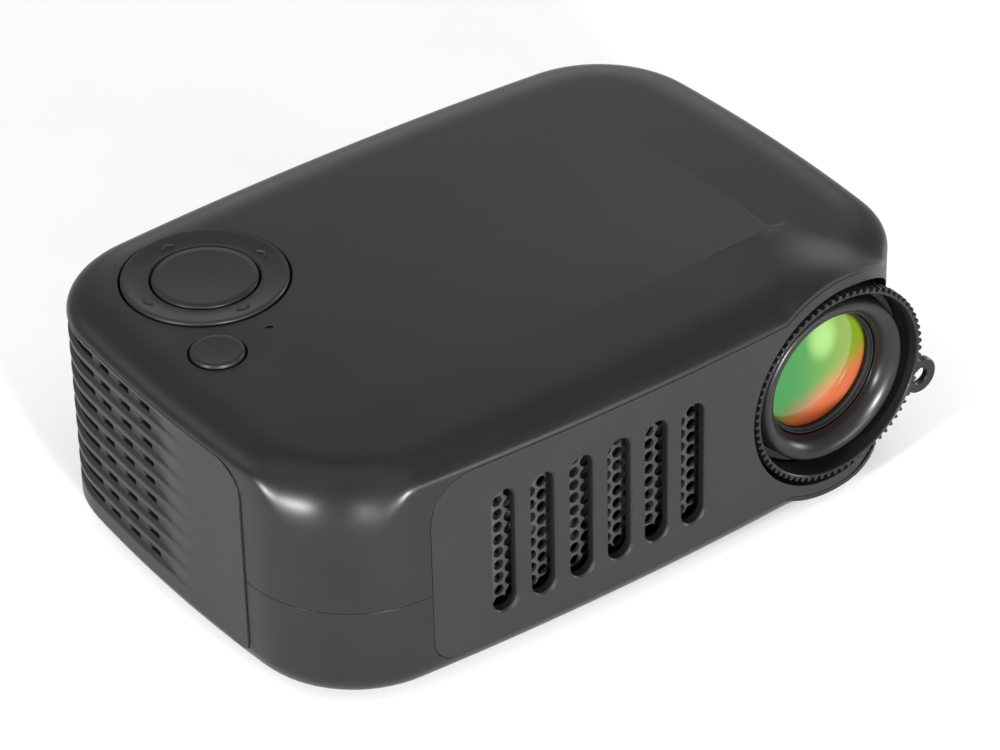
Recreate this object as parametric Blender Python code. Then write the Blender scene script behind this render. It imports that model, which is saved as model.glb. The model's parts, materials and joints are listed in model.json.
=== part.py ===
"""A small home projector: two case shells, four vented panels, keypad, focusing lens and light engine.

Metres, +Z up. The front of the case faces -Y. Everything hangs from one empty, which stands the
case on its feet; the numbers below are in the case's own frame, with z = 0 at its flat underside.
"""

from math import asin, atan2, cos, pi, radians, sin

import bmesh
import bpy
from mathutils import Matrix, Vector

MM = 0.001

# Case outline, seen from above: four bowed sides joined by round corners.
CASE_LENGTH = 126.0 * MM
CASE_DEPTH = 88.52 * MM
CASE_HEIGHT = 41.5 * MM
CORNER_RADIUS = 20.2 * MM
FRONT_BOW = 1.5 * MM
SIDE_BOW = 0.9 * MM
CORNER_STEPS = 7
SIDE_STEPS = 3

# Case wall and its edges.
WALL = 1.8 * MM
BOTTOM_ROUND = 4.3 * MM
TOP_DROP = 3.2 * MM
TOP_REACH = 8.4 * MM
TOP_FULLNESS = 2.2
EDGE_STEPS = 4
SPLIT_HEIGHT = 17.35 * MM
SEAM = 0.3 * MM
FIT = 0.3 * MM
FOOT_HEIGHT = 1.5 * MM

# Panels set flush into the case.
FRONT_PANEL_LEFT = CASE_LENGTH / 2 - 21.8 * MM
FRONT_PANEL_RIGHT = CASE_LENGTH / 2 - 2.6 * MM
PANEL_LOW = 3.4 * MM
PANEL_HIGH = 38.4 * MM
PANEL_TOP_ROUND = 8.0 * MM
PANEL_LOW_ROUND = 4.5 * MM
GRILLE_FRONT = CASE_DEPTH / 2 - 22.86 * MM
GRILLE_BACK = CASE_DEPTH / 2 - 6.26 * MM
FRONT_PANEL_BACK = 13.26 * MM - CASE_DEPTH / 2
GRILLE_NEAR = CASE_DEPTH / 2 - 15.86 * MM
GRILLE_END_MARGIN = 2.5 * MM
GRILLE_ROUND = 5.5 * MM
REAR_PANEL_REACH = CASE_LENGTH / 2 - 13.5 * MM

# Front slots and the perforated plate behind them.
FRONT_SLOTS = 6
FRONT_SLOT_FIRST = -27.8 * MM
FRONT_SLOT_PITCH = 7.486 * MM
FRONT_SLOT_WIDTH = 4.65 * MM
FRONT_SLOT_LOW = 8.5 * MM
FRONT_SLOT_HIGH = 31.9 * MM
MESH_THICKNESS = 0.6 * MM
MESH_GAP = 1.0 * MM
MESH_MARGIN = 4.0 * MM
MESH_PITCH = 5.0 * MM
MESH_HOLE = 1.2 * MM

# Side grilles.
GRILLE_ROWS = 9
GRILLE_ROW_FIRST = 8.2 * MM
GRILLE_ROW_PITCH = 3.6 * MM
GRILLE_COLUMNS = 3
GRILLE_COLUMN_FIRST = 4.6 * MM
GRILLE_COLUMN_PITCH = 6.2 * MM
GRILLE_SLOT_LENGTH = 3.3 * MM
GRILLE_SLOT_HEIGHT = 1.2 * MM
GRILLE_LONG_START = 21.5 * MM
GRILLE_LONG_END = 36.0 * MM

# Lens, collar and focus ring; the lens axis runs along Y.
LENS_X = CASE_LENGTH / 2 - 22.05 * MM
LENS_Z = 21.5 * MM
COLLAR_RADIUS = 20.45 * MM
COLLAR_HOLE = 18.6 * MM
COLLAR_DEPTH = 6.5 * MM
HOOD_WALL = 0.9 * MM
HOOD_BACK = CASE_DEPTH / 2 - 18.26 * MM
RING_TEETH = 75
RING_TIP_RADIUS = 17.84 * MM
RING_TOOTH_HEIGHT = 0.65 * MM
RING_BORE = 16.65 * MM
RING_FRONT = 1.06 * MM - CASE_DEPTH / 2
RING_LENGTH = 11.0 * MM
TAB_ANGLE = radians(-19.6)
TAB_CENTRE_RADIUS = 19.7 * MM
TAB_ROUND = 3.3 * MM
TAB_HOLE_RADIUS = 1.45 * MM
TAB_THICKNESS = 1.4 * MM
TAB_SETBACK = 0.8 * MM
MOUNT_WALL = 1.2 * MM
MOUNT_SETBACK = 5.2 * MM
MOUNT_LENGTH = 24.0 * MM
BEZEL_SETBACK = 1.35 * MM
BEZEL_DEPTH = 3.0 * MM
BEZEL_THROAT = 11.44 * MM
BARREL_LENGTH = 24.0 * MM
RETAINER_THROAT = 9.6 * MM
RETAINER_DEPTH = 1.4 * MM
FRONT_GLASS_EDGE = 3.0 * MM
FRONT_GLASS_SAG = 1.4 * MM
REAR_GLASS_EDGE = 2.4 * MM
REAR_GLASS_SAG = 1.2 * MM
REAR_GLASS_SETBACK = 15.5 * MM

# Light engine, along the lens axis behind the mount.
BOX_WIDTH = 34.0 * MM
BOX_HEIGHT = 32.6 * MM
BOX_LENGTH = 40.0 * MM
BOX_WALL = 1.5 * MM
FRESNEL_THICKNESS = 1.2 * MM
LCD_THICKNESS = 2.4 * MM
HEAT_GLASS_THICKNESS = 1.1 * MM
FRESNEL_FRONT_PLACE = 5.0 * MM
LCD_PLACE = 10.0 * MM
FRESNEL_REAR_PLACE = 16.0 * MM
HEAT_GLASS_PLACE = 21.0 * MM
CONDENSER_PLACE = 24.5 * MM
CONDENSER_RADIUS = 14.0 * MM
CONDENSER_EDGE = 2.0 * MM
CONDENSER_SAG = 5.0 * MM
REFLECTOR_LENGTH = 5.6 * MM
REFLECTOR_WALL = 1.0 * MM
REFLECTOR_THROAT = 6.0 * MM
LED_BOARD_SIZE = 22.0 * MM
LED_BOARD_THICKNESS = 1.6 * MM
LED_CHIP_SIZE = 8.0 * MM
LED_CHIP_HEIGHT = 1.2 * MM
SINK_WIDTH = 36.0 * MM
SINK_HEIGHT = 30.0 * MM
SINK_BASE = 2.5 * MM
SINK_DEPTH = 9.5 * MM
SINK_FINS = 9
SINK_FIN_THICKNESS = 1.2 * MM

# Fan behind the perforated plate.
FAN_X = -9.0 * MM
FAN_SIZE = 35.0 * MM
FAN_DEPTH = 10.0 * MM
FAN_BORE = 16.2 * MM
FAN_BLADE_RADIUS = 15.6 * MM
FAN_HUB_RADIUS = 6.5 * MM
FAN_BLADES = 7
FAN_BASE = 1.5 * MM
FAN_GAP = 2.0 * MM

# Keypad on the top, near the back left corner.
NAV_X = -38.7 * MM
NAV_Y = 22.6 * MM
NAV_RADIUS = 13.8 * MM
OK_RADIUS = 8.8 * MM
POWER_X = -49.0 * MM
POWER_Y = 3.6 * MM
POWER_RADIUS = 4.42 * MM
PIPE_X = -38.5 * MM
PIPE_Y = 4.3 * MM
PIPE_RADIUS = 0.55 * MM
KEY_CLEARANCE = 0.25 * MM
KEY_PROUD = 0.5 * MM
KEY_FLANGE = 1.0 * MM
KEY_FLANGE_REACH = 0.9 * MM
KEY_FLANGE_CHAMFER = 0.45 * MM
KEY_DROP = 0.8 * MM
SWITCH_GAP = 0.6 * MM
SWITCH_SIZE = 4.0 * MM
SWITCH_HEIGHT = 1.3 * MM
SWITCH_STEM_RADIUS = 1.0 * MM
SWITCH_STEM = 0.8 * MM
SWITCH_CIRCLE = (NAV_RADIUS + OK_RADIUS) / 2 - 0.1 * MM
CARRIER_THICKNESS = 0.4 * MM
CARRIER_WIDTH = 1.2 * MM
KEY_BOARD_THICKNESS = 1.2 * MM
KEY_BOARD_MARGIN = 2.0 * MM

# Main board and what stands on it.
BOARD_BOTTOM = 6.0 * MM
BOARD_THICKNESS = 1.6 * MM
BOARD_FRONT = -15.0 * MM
BOARD_RIGHT = 20.0 * MM
BOARD_LEFT = -53.0 * MM
BOARD_INSET = 2.8 * MM
SOCKET_DEPTH = 12.0 * MM
SOCKET_RECESS = 0.4 * MM
HDMI_SIZE = (15.0 * MM, 5.8 * MM)
USB_SIZE = (13.2 * MM, 6.6 * MM)
AV_SIZE = (7.0 * MM, 6.0 * MM)
DC_SIZE = (9.0 * MM, 9.0 * MM)
CARD_SIZE = (10.6 * MM, 2.0 * MM)
HDMI_X = -14.5 * MM
USB_X = 1.0 * MM
AV_X = -38.5 * MM
DC_X = -29.0 * MM
CARD_X = 14.0 * MM
SOCKET_HOLLOW = 7.0 * MM
SOCKET_RIM = 0.7 * MM
IR_X = 24.0 * MM
IR_Z = 26.0 * MM
IR_RADIUS = 2.6 * MM
SPEAKER_RADIUS = 12.0 * MM
SPEAKER_DEPTH = 5.0 * MM
SPEAKER_Y = 2.0 * MM
SPEAKER_Z = 21.5 * MM
WIRE_RADIUS = 0.6 * MM

# Underside: feet, screws and the tripod insert.
FOOT_RADIUS = 4.0 * MM
FOOT_RECESS = 0.6 * MM
FOOT_X = CASE_LENGTH / 2 - 14 * MM
FOOT_Y = CASE_DEPTH / 2 - 14.76 * MM
SCREW_PLACES = (
    (-40.0 * MM, -30.0 * MM),
    (-19.0 * MM, 22.0 * MM),
    (16.0 * MM, -26.0 * MM),
    (16.0 * MM, 22.0 * MM),
)
SCREW_POST = 3.6 * MM
SCREW_HEAD = 2.5 * MM
SCREW_HEAD_HEIGHT = 1.8 * MM
SCREW_SHANK = 1.2 * MM
SCREW_LENGTH = 19.0 * MM
SCREW_SINK = 3.0 * MM
TRIPOD_Y = -20.6 * MM
TRIPOD_RADIUS = 3.9 * MM
TRIPOD_BORE = 2.6 * MM
TRIPOD_LENGTH = 6.2 * MM
TRIPOD_BOSS = 5.2 * MM

HALF_LENGTH = CASE_LENGTH / 2
HALF_DEPTH = CASE_DEPTH / 2
FAR = 20 * MM

# Colours, roughness and metallic value of each finish.
FINISHES = {
    "case_plastic": ((0.040, 0.040, 0.041), 0.46, 0.0),
    "panel_plastic": ((0.048, 0.048, 0.049), 0.44, 0.0),
    "key_plastic": ((0.030, 0.030, 0.031), 0.40, 0.0),
    "dark_plastic": ((0.010, 0.010, 0.010), 0.50, 0.0),
    "lens_plastic": ((0.016, 0.016, 0.017), 0.24, 0.0),
    "mesh_steel": ((0.080, 0.080, 0.082), 0.45, 1.0),
    "clear_glass": ((0.120, 0.300, 0.160), 0.04, 0.0),
    "frosted_plastic": ((0.600, 0.620, 0.640), 0.35, 0.0),
    "cast_aluminium": ((0.560, 0.570, 0.580), 0.38, 1.0),
    "circuit_board": ((0.020, 0.110, 0.045), 0.45, 0.0),
    "plated_steel": ((0.620, 0.620, 0.600), 0.28, 1.0),
    "rubber": ((0.015, 0.015, 0.015), 0.80, 0.0),
    "brass": ((0.700, 0.480, 0.180), 0.30, 1.0),
    "emitter": ((0.900, 0.850, 0.450), 0.35, 0.0),
}


# ---------------------------------------------------------------- scene and objects


def clear_scene():
    for obj in list(bpy.data.objects):
        bpy.data.objects.remove(obj, do_unlink=True)


def finish(name):
    """The material of one finish, made once."""
    material = bpy.data.materials.get(name)
    if material is None:
        colour, roughness, metallic = FINISHES[name]
        material = bpy.data.materials.new(name)
        material.use_nodes = True
        shader = material.node_tree.nodes["Principled BSDF"]
        shader.inputs["Base Color"].default_value = (*colour, 1.0)
        shader.inputs["Roughness"].default_value = roughness
        shader.inputs["Metallic"].default_value = metallic
    return material


def to_object(name, mesh_maker, material=None, centre=(0, 0, 0)):
    """A mesh object from a bmesh, its origin at centre; the bmesh is in case coordinates."""
    mesh_maker.transform(Matrix.Translation(-Vector(centre)))
    bmesh.ops.recalc_face_normals(mesh_maker, faces=mesh_maker.faces)
    mesh = bpy.data.meshes.new(name)
    mesh_maker.to_mesh(mesh)
    mesh_maker.free()
    obj = bpy.data.objects.new(name, mesh)
    bpy.context.scene.collection.objects.link(obj)
    obj.location = centre
    obj.parent = bpy.data.objects["projector"]
    if material:
        mesh.materials.append(finish(material))
    return obj


def half_space(name, low, high):
    """Everything of the case between two heights."""
    near = (-FAR - HALF_LENGTH, -FAR - HALF_DEPTH, low)
    return box(name, near, (FAR + HALF_LENGTH, FAR + HALF_DEPTH, high))


def combine(target, operation, cutters, solver="EXACT"):
    """Joins, cuts or crosses target with each cutter, keeps the result and removes the cutters."""
    bpy.context.view_layer.update()
    for cutter in cutters:
        cutter.hide_render = True
        cutter.display_type = "WIRE"
        modifier = target.modifiers.new(cutter.name, "BOOLEAN")
        modifier.operation = operation
        modifier.solver = solver
        modifier.object = cutter
    bpy.context.view_layer.update()
    graph = bpy.context.evaluated_depsgraph_get()
    made = bpy.data.meshes.new_from_object(target.evaluated_get(graph))
    target.modifiers.clear()
    target.data = made
    for cutter in cutters:
        bpy.data.objects.remove(cutter, do_unlink=True)
    return target


def smooth(obj, angle=30.0):
    obj.data.shade_smooth()
    obj.data.set_sharp_from_angle(angle=radians(angle))
    return obj


# ---------------------------------------------------------------- shapes


def box(name, low, high, material=None, centre=None):
    maker = bmesh.new()
    bmesh.ops.create_cube(maker, size=1.0)
    size = Vector(high) - Vector(low)
    middle = (Vector(high) + Vector(low)) / 2
    bmesh.ops.scale(maker, vec=size, verts=maker.verts)
    bmesh.ops.translate(maker, vec=middle, verts=maker.verts)
    return to_object(name, maker, material, middle if centre is None else centre)


def turned(name, profile, centre, axis="Z", steps=32, material=None):
    """A solid of revolution from (radius, height) points, along +Z or along +Y through centre."""
    maker = bmesh.new()
    rings = []
    for radius, height in profile:
        if radius < 1e-7:
            rings.append([maker.verts.new((0, 0, height))])
            continue
        ring = []
        for step in range(steps):
            angle = 2 * pi * step / steps
            ring.append(maker.verts.new((radius * cos(angle), radius * sin(angle), height)))
        rings.append(ring)
    closed = profile[0][0] > 1e-7 and profile[-1][0] > 1e-7
    pairs = list(zip(rings, rings[1:]))
    if closed:
        pairs.append((rings[-1], rings[0]))
    for first, second in pairs:
        for step in range(steps):
            after = (step + 1) % steps
            if len(first) == 1:
                maker.faces.new((first[0], second[after], second[step]))
            elif len(second) == 1:
                maker.faces.new((first[step], first[after], second[0]))
            else:
                maker.faces.new((first[step], first[after], second[after], second[step]))
    if axis == "Y":
        maker.transform(Matrix.Rotation(-pi / 2, 4, "X"))
    maker.transform(Matrix.Translation(Vector(centre)))
    return to_object(name, maker, material, centre)


def rod(name, radius, low, high, centre, axis="Z", steps=32, material=None):
    profile = ((0, low), (radius, low), (radius, high), (0, high))
    return turned(name, profile, centre, axis, steps, material)


def tube(name, bore, radius, low, high, centre, axis="Z", steps=32, material=None):
    profile = ((bore, low), (radius, low), (radius, high), (bore, high))
    return turned(name, profile, centre, axis, steps, material)


def prism(name, outline, low, high, axis, material=None):
    """Pushes a closed outline along an axis: (x, y) along Z, (x, z) along Y or (y, z) along X."""
    place = {
        "Z": lambda a, b, level: (a, b, level),
        "Y": lambda a, b, level: (a, level, b),
        "X": lambda a, b, level: (level, a, b),
    }[axis]
    maker = bmesh.new()
    ends = []
    for level in (low, high):
        ends.append([maker.verts.new(place(a, b, level)) for a, b in outline])
    bridge(maker, ends[0], ends[1])
    maker.faces.new(ends[0])
    maker.faces.new(ends[1])
    return to_object(name, maker, material)


def bridge(maker, first, second):
    for index, corner in enumerate(first):
        after = (index + 1) % len(first)
        maker.faces.new((corner, first[after], second[after], second[index]))


def arc_points(centre, radius, start, stop, steps):
    points = []
    for step in range(steps + 1):
        angle = start + (stop - start) * step / steps
        points.append((centre[0] + radius * cos(angle), centre[1] + radius * sin(angle)))
    return points


def rounded_outline(low, high, rounds, steps=6):
    """A rectangle whose corners, from the lower left and anticlockwise, have their own rounds."""
    corners = ((low[0], low[1]), (high[0], low[1]), (high[0], high[1]), (low[0], high[1]))
    inward = ((1, 1), (-1, 1), (-1, -1), (1, -1))
    points = []
    for index, (corner, side, radius) in enumerate(zip(corners, inward, rounds)):
        if radius <= 0:
            points.append(corner)
            continue
        middle = (corner[0] + side[0] * radius, corner[1] + side[1] * radius)
        start = pi + index * pi / 2
        points += arc_points(middle, radius, start, start + pi / 2, steps)
    return points


# ---------------------------------------------------------------- the case's outline


def bow_radius(half_width, bow):
    return (half_width**2 + bow**2) / (2 * bow)


def plan_point(angle, inset):
    """The point of the case's outline whose outward normal has this angle, moved inwards."""
    core_x = HALF_LENGTH - CORNER_RADIUS
    core_y = HALF_DEPTH - CORNER_RADIUS
    corner_x = core_x - SIDE_BOW
    corner_y = core_y - FRONT_BOW
    front_radius = bow_radius(corner_x, FRONT_BOW)
    side_radius = bow_radius(corner_y, SIDE_BOW)
    from_y = atan2(abs(cos(angle)), abs(sin(angle)))
    from_x = pi / 2 - from_y
    if from_y <= asin(corner_x / front_radius):
        x = front_radius * sin(from_y)
        y = core_y - front_radius + front_radius * cos(from_y)
    elif from_x <= asin(corner_y / side_radius):
        x = core_x - side_radius + side_radius * cos(from_x)
        y = side_radius * sin(from_x)
    else:
        x = corner_x
        y = corner_y
    reach = CORNER_RADIUS - inset
    x = x * (1 if cos(angle) >= 0 else -1) + reach * cos(angle)
    y = y * (1 if sin(angle) >= 0 else -1) + reach * sin(angle)
    return x, y


def plan_angles():
    """Normal angles all round the outline, close together in the corners."""
    core_x = HALF_LENGTH - CORNER_RADIUS - SIDE_BOW
    core_y = HALF_DEPTH - CORNER_RADIUS - FRONT_BOW
    front_swing = asin(core_x / bow_radius(core_x, FRONT_BOW))
    side_swing = asin(core_y / bow_radius(core_y, SIDE_BOW))
    angles = []
    for quarter in range(4):
        middle = quarter * pi / 2
        swing = side_swing if quarter % 2 == 0 else front_swing
        following = front_swing if quarter % 2 == 0 else side_swing
        for step in range(SIDE_STEPS):
            angles.append(middle - swing + 2 * swing * step / SIDE_STEPS)
        start = middle + swing
        stop = middle + pi / 2 - following
        for step in range(CORNER_STEPS):
            angles.append(start + (stop - start) * step / CORNER_STEPS)
    return angles


def plan_outline(inset=0.0):
    return [plan_point(angle, inset) for angle in plan_angles()]


def outline_front(x, inset=0.0):
    """The outline's y at this x, on the front."""
    low, high = pi, 1.5 * pi
    if x > 0:
        low, high = 2 * pi, 1.5 * pi
    for _ in range(40):
        middle = (low + high) / 2
        if abs(plan_point(middle, inset)[0]) > abs(x):
            low = middle
        else:
            high = middle
    return plan_point(high, inset)[1]


def edge_levels(inset, low, high, bottom_round):
    """(inset, z) pairs up the case: round lower edge, upright wall, soft upper edge."""
    levels = []
    for step in range(EDGE_STEPS + 1):
        angle = pi / 2 * step / EDGE_STEPS
        levels.append((inset + bottom_round * (1 - sin(angle)), low + bottom_round * (1 - cos(angle))))
    wall_top = high - TOP_DROP
    for step in range(EDGE_STEPS + 1):
        angle = pi / 2 * step / EDGE_STEPS
        inwards = TOP_REACH * (1 - cos(angle) ** (2 / TOP_FULLNESS))
        upwards = TOP_DROP * sin(angle) ** (2 / TOP_FULLNESS)
        levels.append((inset + inwards, wall_top + upwards))
    return levels


def lofted(name, levels):
    """A closed body through the case's outline at each (inset, z) level."""
    maker = bmesh.new()
    rings = []
    for inset, z in levels:
        rings.append([maker.verts.new((x, y, z)) for x, y in plan_outline(inset)])
    for first, second in zip(rings, rings[1:]):
        bridge(maker, first, second)
    maker.faces.new(rings[0])
    maker.faces.new(rings[-1])
    return to_object(name, maker)


def outline_post(name, inset, low, high):
    return lofted(name, ((inset, low), (inset, high)))


def wall_strip(name, low, high):
    """The upright wall of the case alone, as a closed band."""
    band = outline_post(name, 0.0, low, high)
    return combine(band, "DIFFERENCE", [outline_post("band_core", WALL, low - FAR, high + FAR)])


def lens_cone(name, front_radius, back_radius, front, back, steps=48):
    """A body round the lens axis; front and back are case y values."""
    profile = ((0, front), (front_radius, front), (back_radius, back), (0, back))
    return turned(name, profile, (LENS_X, 0, LENS_Z), "Y", steps)


# ---------------------------------------------------------------- panel openings


def front_panel_body(name, grow):
    """Everything inside the front panel's outline; only its front few millimetres hold the collar."""
    front = -HALF_DEPTH - FAR
    outline = rounded_outline(
        (-FRONT_PANEL_LEFT - grow, PANEL_LOW - grow),
        (FRONT_PANEL_RIGHT + grow, PANEL_HIGH + grow),
        (PANEL_LOW_ROUND + grow, 0, 0, PANEL_TOP_ROUND + grow),
    )
    body = prism(name, outline, front, FRONT_PANEL_BACK + grow, "Y")
    radius = COLLAR_RADIUS + grow
    collar_back = -HALF_DEPTH + COLLAR_DEPTH + grow
    return combine(body, "UNION", [lens_cone("collar_round", radius, radius, front - MM, collar_back)])


def rear_panel_body(name, grow):
    outline = rounded_outline(
        (-REAR_PANEL_REACH - grow, PANEL_LOW - grow),
        (FRONT_PANEL_LEFT + grow, PANEL_HIGH + grow),
        (0, PANEL_LOW_ROUND + grow, PANEL_TOP_ROUND + grow, 0),
    )
    return prism(name, outline, HALF_DEPTH - CORNER_RADIUS, HALF_DEPTH + FAR, "Y")


def left_grille_body(name, grow):
    outline = rounded_outline(
        (-GRILLE_FRONT - grow, PANEL_LOW - grow),
        (GRILLE_BACK + grow, PANEL_HIGH + grow),
        (GRILLE_ROUND / 4 + grow, 0, 0, GRILLE_ROUND + grow),
    )
    return prism(name, outline, -HALF_LENGTH - FAR, -HALF_LENGTH + CORNER_RADIUS, "X")


def right_grille_body(name, grow):
    outline = rounded_outline(
        (-GRILLE_NEAR - grow, PANEL_LOW - grow),
        (GRILLE_FRONT + grow, PANEL_HIGH + grow),
        (0, GRILLE_ROUND / 4 + grow, GRILLE_ROUND + grow, 0),
    )
    return prism(name, outline, HALF_LENGTH - CORNER_RADIUS, HALF_LENGTH + FAR, "X")


def lens_opening():
    ring_back = RING_FRONT + RING_LENGTH + FIT
    return lens_cone("lens_opening", COLLAR_HOLE, COLLAR_HOLE, -HALF_DEPTH - FAR, ring_back, 60)


def panel_openings():
    return [
        lens_opening(),
        front_panel_body("front_opening", FIT),
        rear_panel_body("rear_opening", FIT),
        left_grille_body("left_opening", FIT),
        right_grille_body("right_opening", FIT),
    ]


# ---------------------------------------------------------------- case shells


def case_skin():
    """Both shells in one: the whole outer wall with the lens hood and the swelling below it."""
    skin = lofted("skin", edge_levels(0.0, 0.0, CASE_HEIGHT, BOTTOM_ROUND))
    hood_radius = COLLAR_RADIUS + FIT + HOOD_WALL
    hood = lens_cone("hood", hood_radius, hood_radius - 2.6 * MM, -HALF_DEPTH - FAR, -HOOD_BACK)
    limit = outline_post("hood_limit", 0.05 * MM, 0.1 * MM, CASE_HEIGHT + FAR)
    combine(hood, "INTERSECT", [limit], "MANIFOLD")
    combine(skin, "UNION", [hood], "MANIFOLD")
    hollow = lofted("hollow", edge_levels(WALL, WALL, CASE_HEIGHT - WALL, BOTTOM_ROUND - WALL))
    return combine(skin, "DIFFERENCE", [hollow], "MANIFOLD")


def key_places():
    return (
        (NAV_X, NAV_Y, NAV_RADIUS + KEY_CLEARANCE),
        (POWER_X, POWER_Y, POWER_RADIUS + KEY_CLEARANCE),
        (PIPE_X, PIPE_Y, PIPE_RADIUS + FIT),
    )


def key_board_top():
    """Top of the keypad board: below it the keys' flanges, their travel and the switches."""
    flange_bottom = CASE_HEIGHT - WALL - KEY_DROP - KEY_FLANGE
    return flange_bottom - SWITCH_GAP - SWITCH_STEM - SWITCH_HEIGHT


def top_shell():
    shell = case_skin()
    shell.name = "top_shell"
    low = SPLIT_HEIGHT + SEAM / 2
    keep = half_space("upper_half", low, 3 * FAR)
    combine(shell, "INTERSECT", [keep], "MANIFOLD")
    combine(shell, "DIFFERENCE", panel_openings(), "MANIFOLD")
    holes = []
    for x, y, radius in key_places():
        steps = 48 if radius > 2 * MM else 16
        low_end = CASE_HEIGHT - 3 * MM
        holes.append(rod("key_hole", radius, low_end, CASE_HEIGHT + 5 * MM, (x, y, 0), steps=steps))
    combine(shell, "DIFFERENCE", holes, "MANIFOLD")
    posts = []
    for x, y in SCREW_PLACES:
        top = CASE_HEIGHT - WALL + 0.4 * MM
        posts.append(tube("post", SCREW_SHANK + FIT, SCREW_POST, low, top, (x, y, 0), steps=16))
    for x, y in key_board_posts():
        top = CASE_HEIGHT - WALL + 0.4 * MM
        posts.append(rod("stud", 1.5 * MM, key_board_top() + FIT, top, (x, y, 0), steps=12))
    combine(shell, "UNION", posts, "MANIFOLD")
    shell.data.materials.clear()
    shell.data.materials.append(finish("case_plastic"))
    return smooth(shell)


def bottom_shell():
    shell = case_skin()
    shell.name = "bottom_shell"
    high = SPLIT_HEIGHT - SEAM / 2
    keep = half_space("lower_half", -FAR, high)
    combine(shell, "INTERSECT", [keep], "MANIFOLD")
    combine(shell, "DIFFERENCE", panel_openings(), "MANIFOLD")
    posts = []
    for x, y in SCREW_PLACES:
        posts.append(rod("post", SCREW_POST, WALL / 2, high, (x, y, 0), steps=16))
    boss_top = TRIPOD_LENGTH + 1.5 * MM
    posts.append(rod("tripod_boss", TRIPOD_BOSS, WALL / 2, boss_top, (0, TRIPOD_Y, 0), steps=24))
    for x, y in ((-46 * MM, 0), (10 * MM, 0), (-8 * MM, 26 * MM)):
        posts.append(rod("board_stud", 2 * MM, WALL / 2, BOARD_BOTTOM - FIT, (x, y, 0), steps=12))
    combine(shell, "UNION", posts, "MANIFOLD")
    holes = []
    for x, y in SCREW_PLACES:
        sink = SCREW_SINK + SCREW_HEAD_HEIGHT + FIT
        holes.append(rod("head_hole", SCREW_HEAD + FIT, -MM, sink, (x, y, 0), steps=16))
        holes.append(rod("shank_hole", SCREW_SHANK + FIT, MM, high + MM, (x, y, 0), steps=16))
    insert = (0, TRIPOD_Y, 0)
    holes.append(rod("insert_hole", TRIPOD_RADIUS + FIT, -MM, TRIPOD_LENGTH + FIT, insert, steps=24))
    for x, y in foot_places():
        holes.append(rod("foot_hole", FOOT_RADIUS + FIT, -MM, FOOT_RECESS, (x, y, 0), steps=24))
    combine(shell, "DIFFERENCE", holes, "MANIFOLD")
    shell.data.materials.clear()
    shell.data.materials.append(finish("case_plastic"))
    return smooth(shell)


# ---------------------------------------------------------------- panels


def front_panel():
    panel = wall_strip("front_panel", 0.0, CASE_HEIGHT + 4 * MM)
    combine(panel, "INTERSECT", [front_panel_body("front_shape", 0.0)], "MANIFOLD")
    front, back = -HALF_DEPTH - FAR, -HALF_DEPTH + COLLAR_DEPTH
    collar = lens_cone("collar", COLLAR_RADIUS, COLLAR_RADIUS, front, back)
    combine(collar, "INTERSECT", [outline_post("collar_limit", WALL / 2, -FAR, CASE_HEIGHT + FAR)])
    combine(panel, "UNION", [collar], "MANIFOLD")
    combine(panel, "DIFFERENCE", [lens_opening()], "MANIFOLD")
    cuts = []
    half_width = FRONT_SLOT_WIDTH / 2
    for index in range(FRONT_SLOTS):
        x = FRONT_SLOT_FIRST + index * FRONT_SLOT_PITCH
        low = (x - half_width, FRONT_SLOT_LOW)
        high = (x + half_width, FRONT_SLOT_HIGH)
        outline = rounded_outline(low, high, (half_width * 0.999,) * 4, 5)
        cuts.append(prism("front_slot", outline, -HALF_DEPTH - FAR, -HALF_DEPTH + FAR, "Y"))
    combine(panel, "DIFFERENCE", cuts, "MANIFOLD")
    panel.data.materials.append(finish("panel_plastic"))
    return smooth(panel)


def vent_mesh():
    """The perforated plate behind the front slots; every second hole is left to the finer model."""
    left = FRONT_SLOT_FIRST - FRONT_SLOT_WIDTH / 2 - MESH_MARGIN
    right = FRONT_SLOT_FIRST + (FRONT_SLOTS - 1) * FRONT_SLOT_PITCH + FRONT_SLOT_WIDTH / 2 + MESH_MARGIN
    low = FRONT_SLOT_LOW - MESH_MARGIN / 2
    high = FRONT_SLOT_HIGH + MESH_MARGIN / 2
    front = outline_front(left) + WALL + MESH_GAP
    plate = box("vent_mesh", (left, front, low), (right, front + MESH_THICKNESS, high), "mesh_steel")
    holes = []
    columns = int((right - left - MESH_PITCH) / MESH_PITCH)
    rows = int((high - low - MESH_PITCH) / MESH_PITCH)
    for column in range(columns + 1):
        for row in range(rows + 1):
            x = left + MESH_PITCH * (0.75 + column)
            z = low + MESH_PITCH * (0.5 + row + 0.5 * (column % 2))
            if z + MESH_HOLE < high - FIT:
                holes.append((x, z))
    cutter = bmesh.new()
    for x, z in holes:
        size = {"radius1": MESH_HOLE, "radius2": MESH_HOLE, "depth": 4 * MM}
        made = bmesh.ops.create_cone(cutter, cap_ends=True, segments=6, **size)
        turn = Matrix.Translation((x, front, z)) @ Matrix.Rotation(pi / 2, 4, "X")
        bmesh.ops.transform(cutter, matrix=turn, verts=made["verts"])
    return combine(plate, "DIFFERENCE", [to_object("mesh_holes", cutter)])


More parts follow.
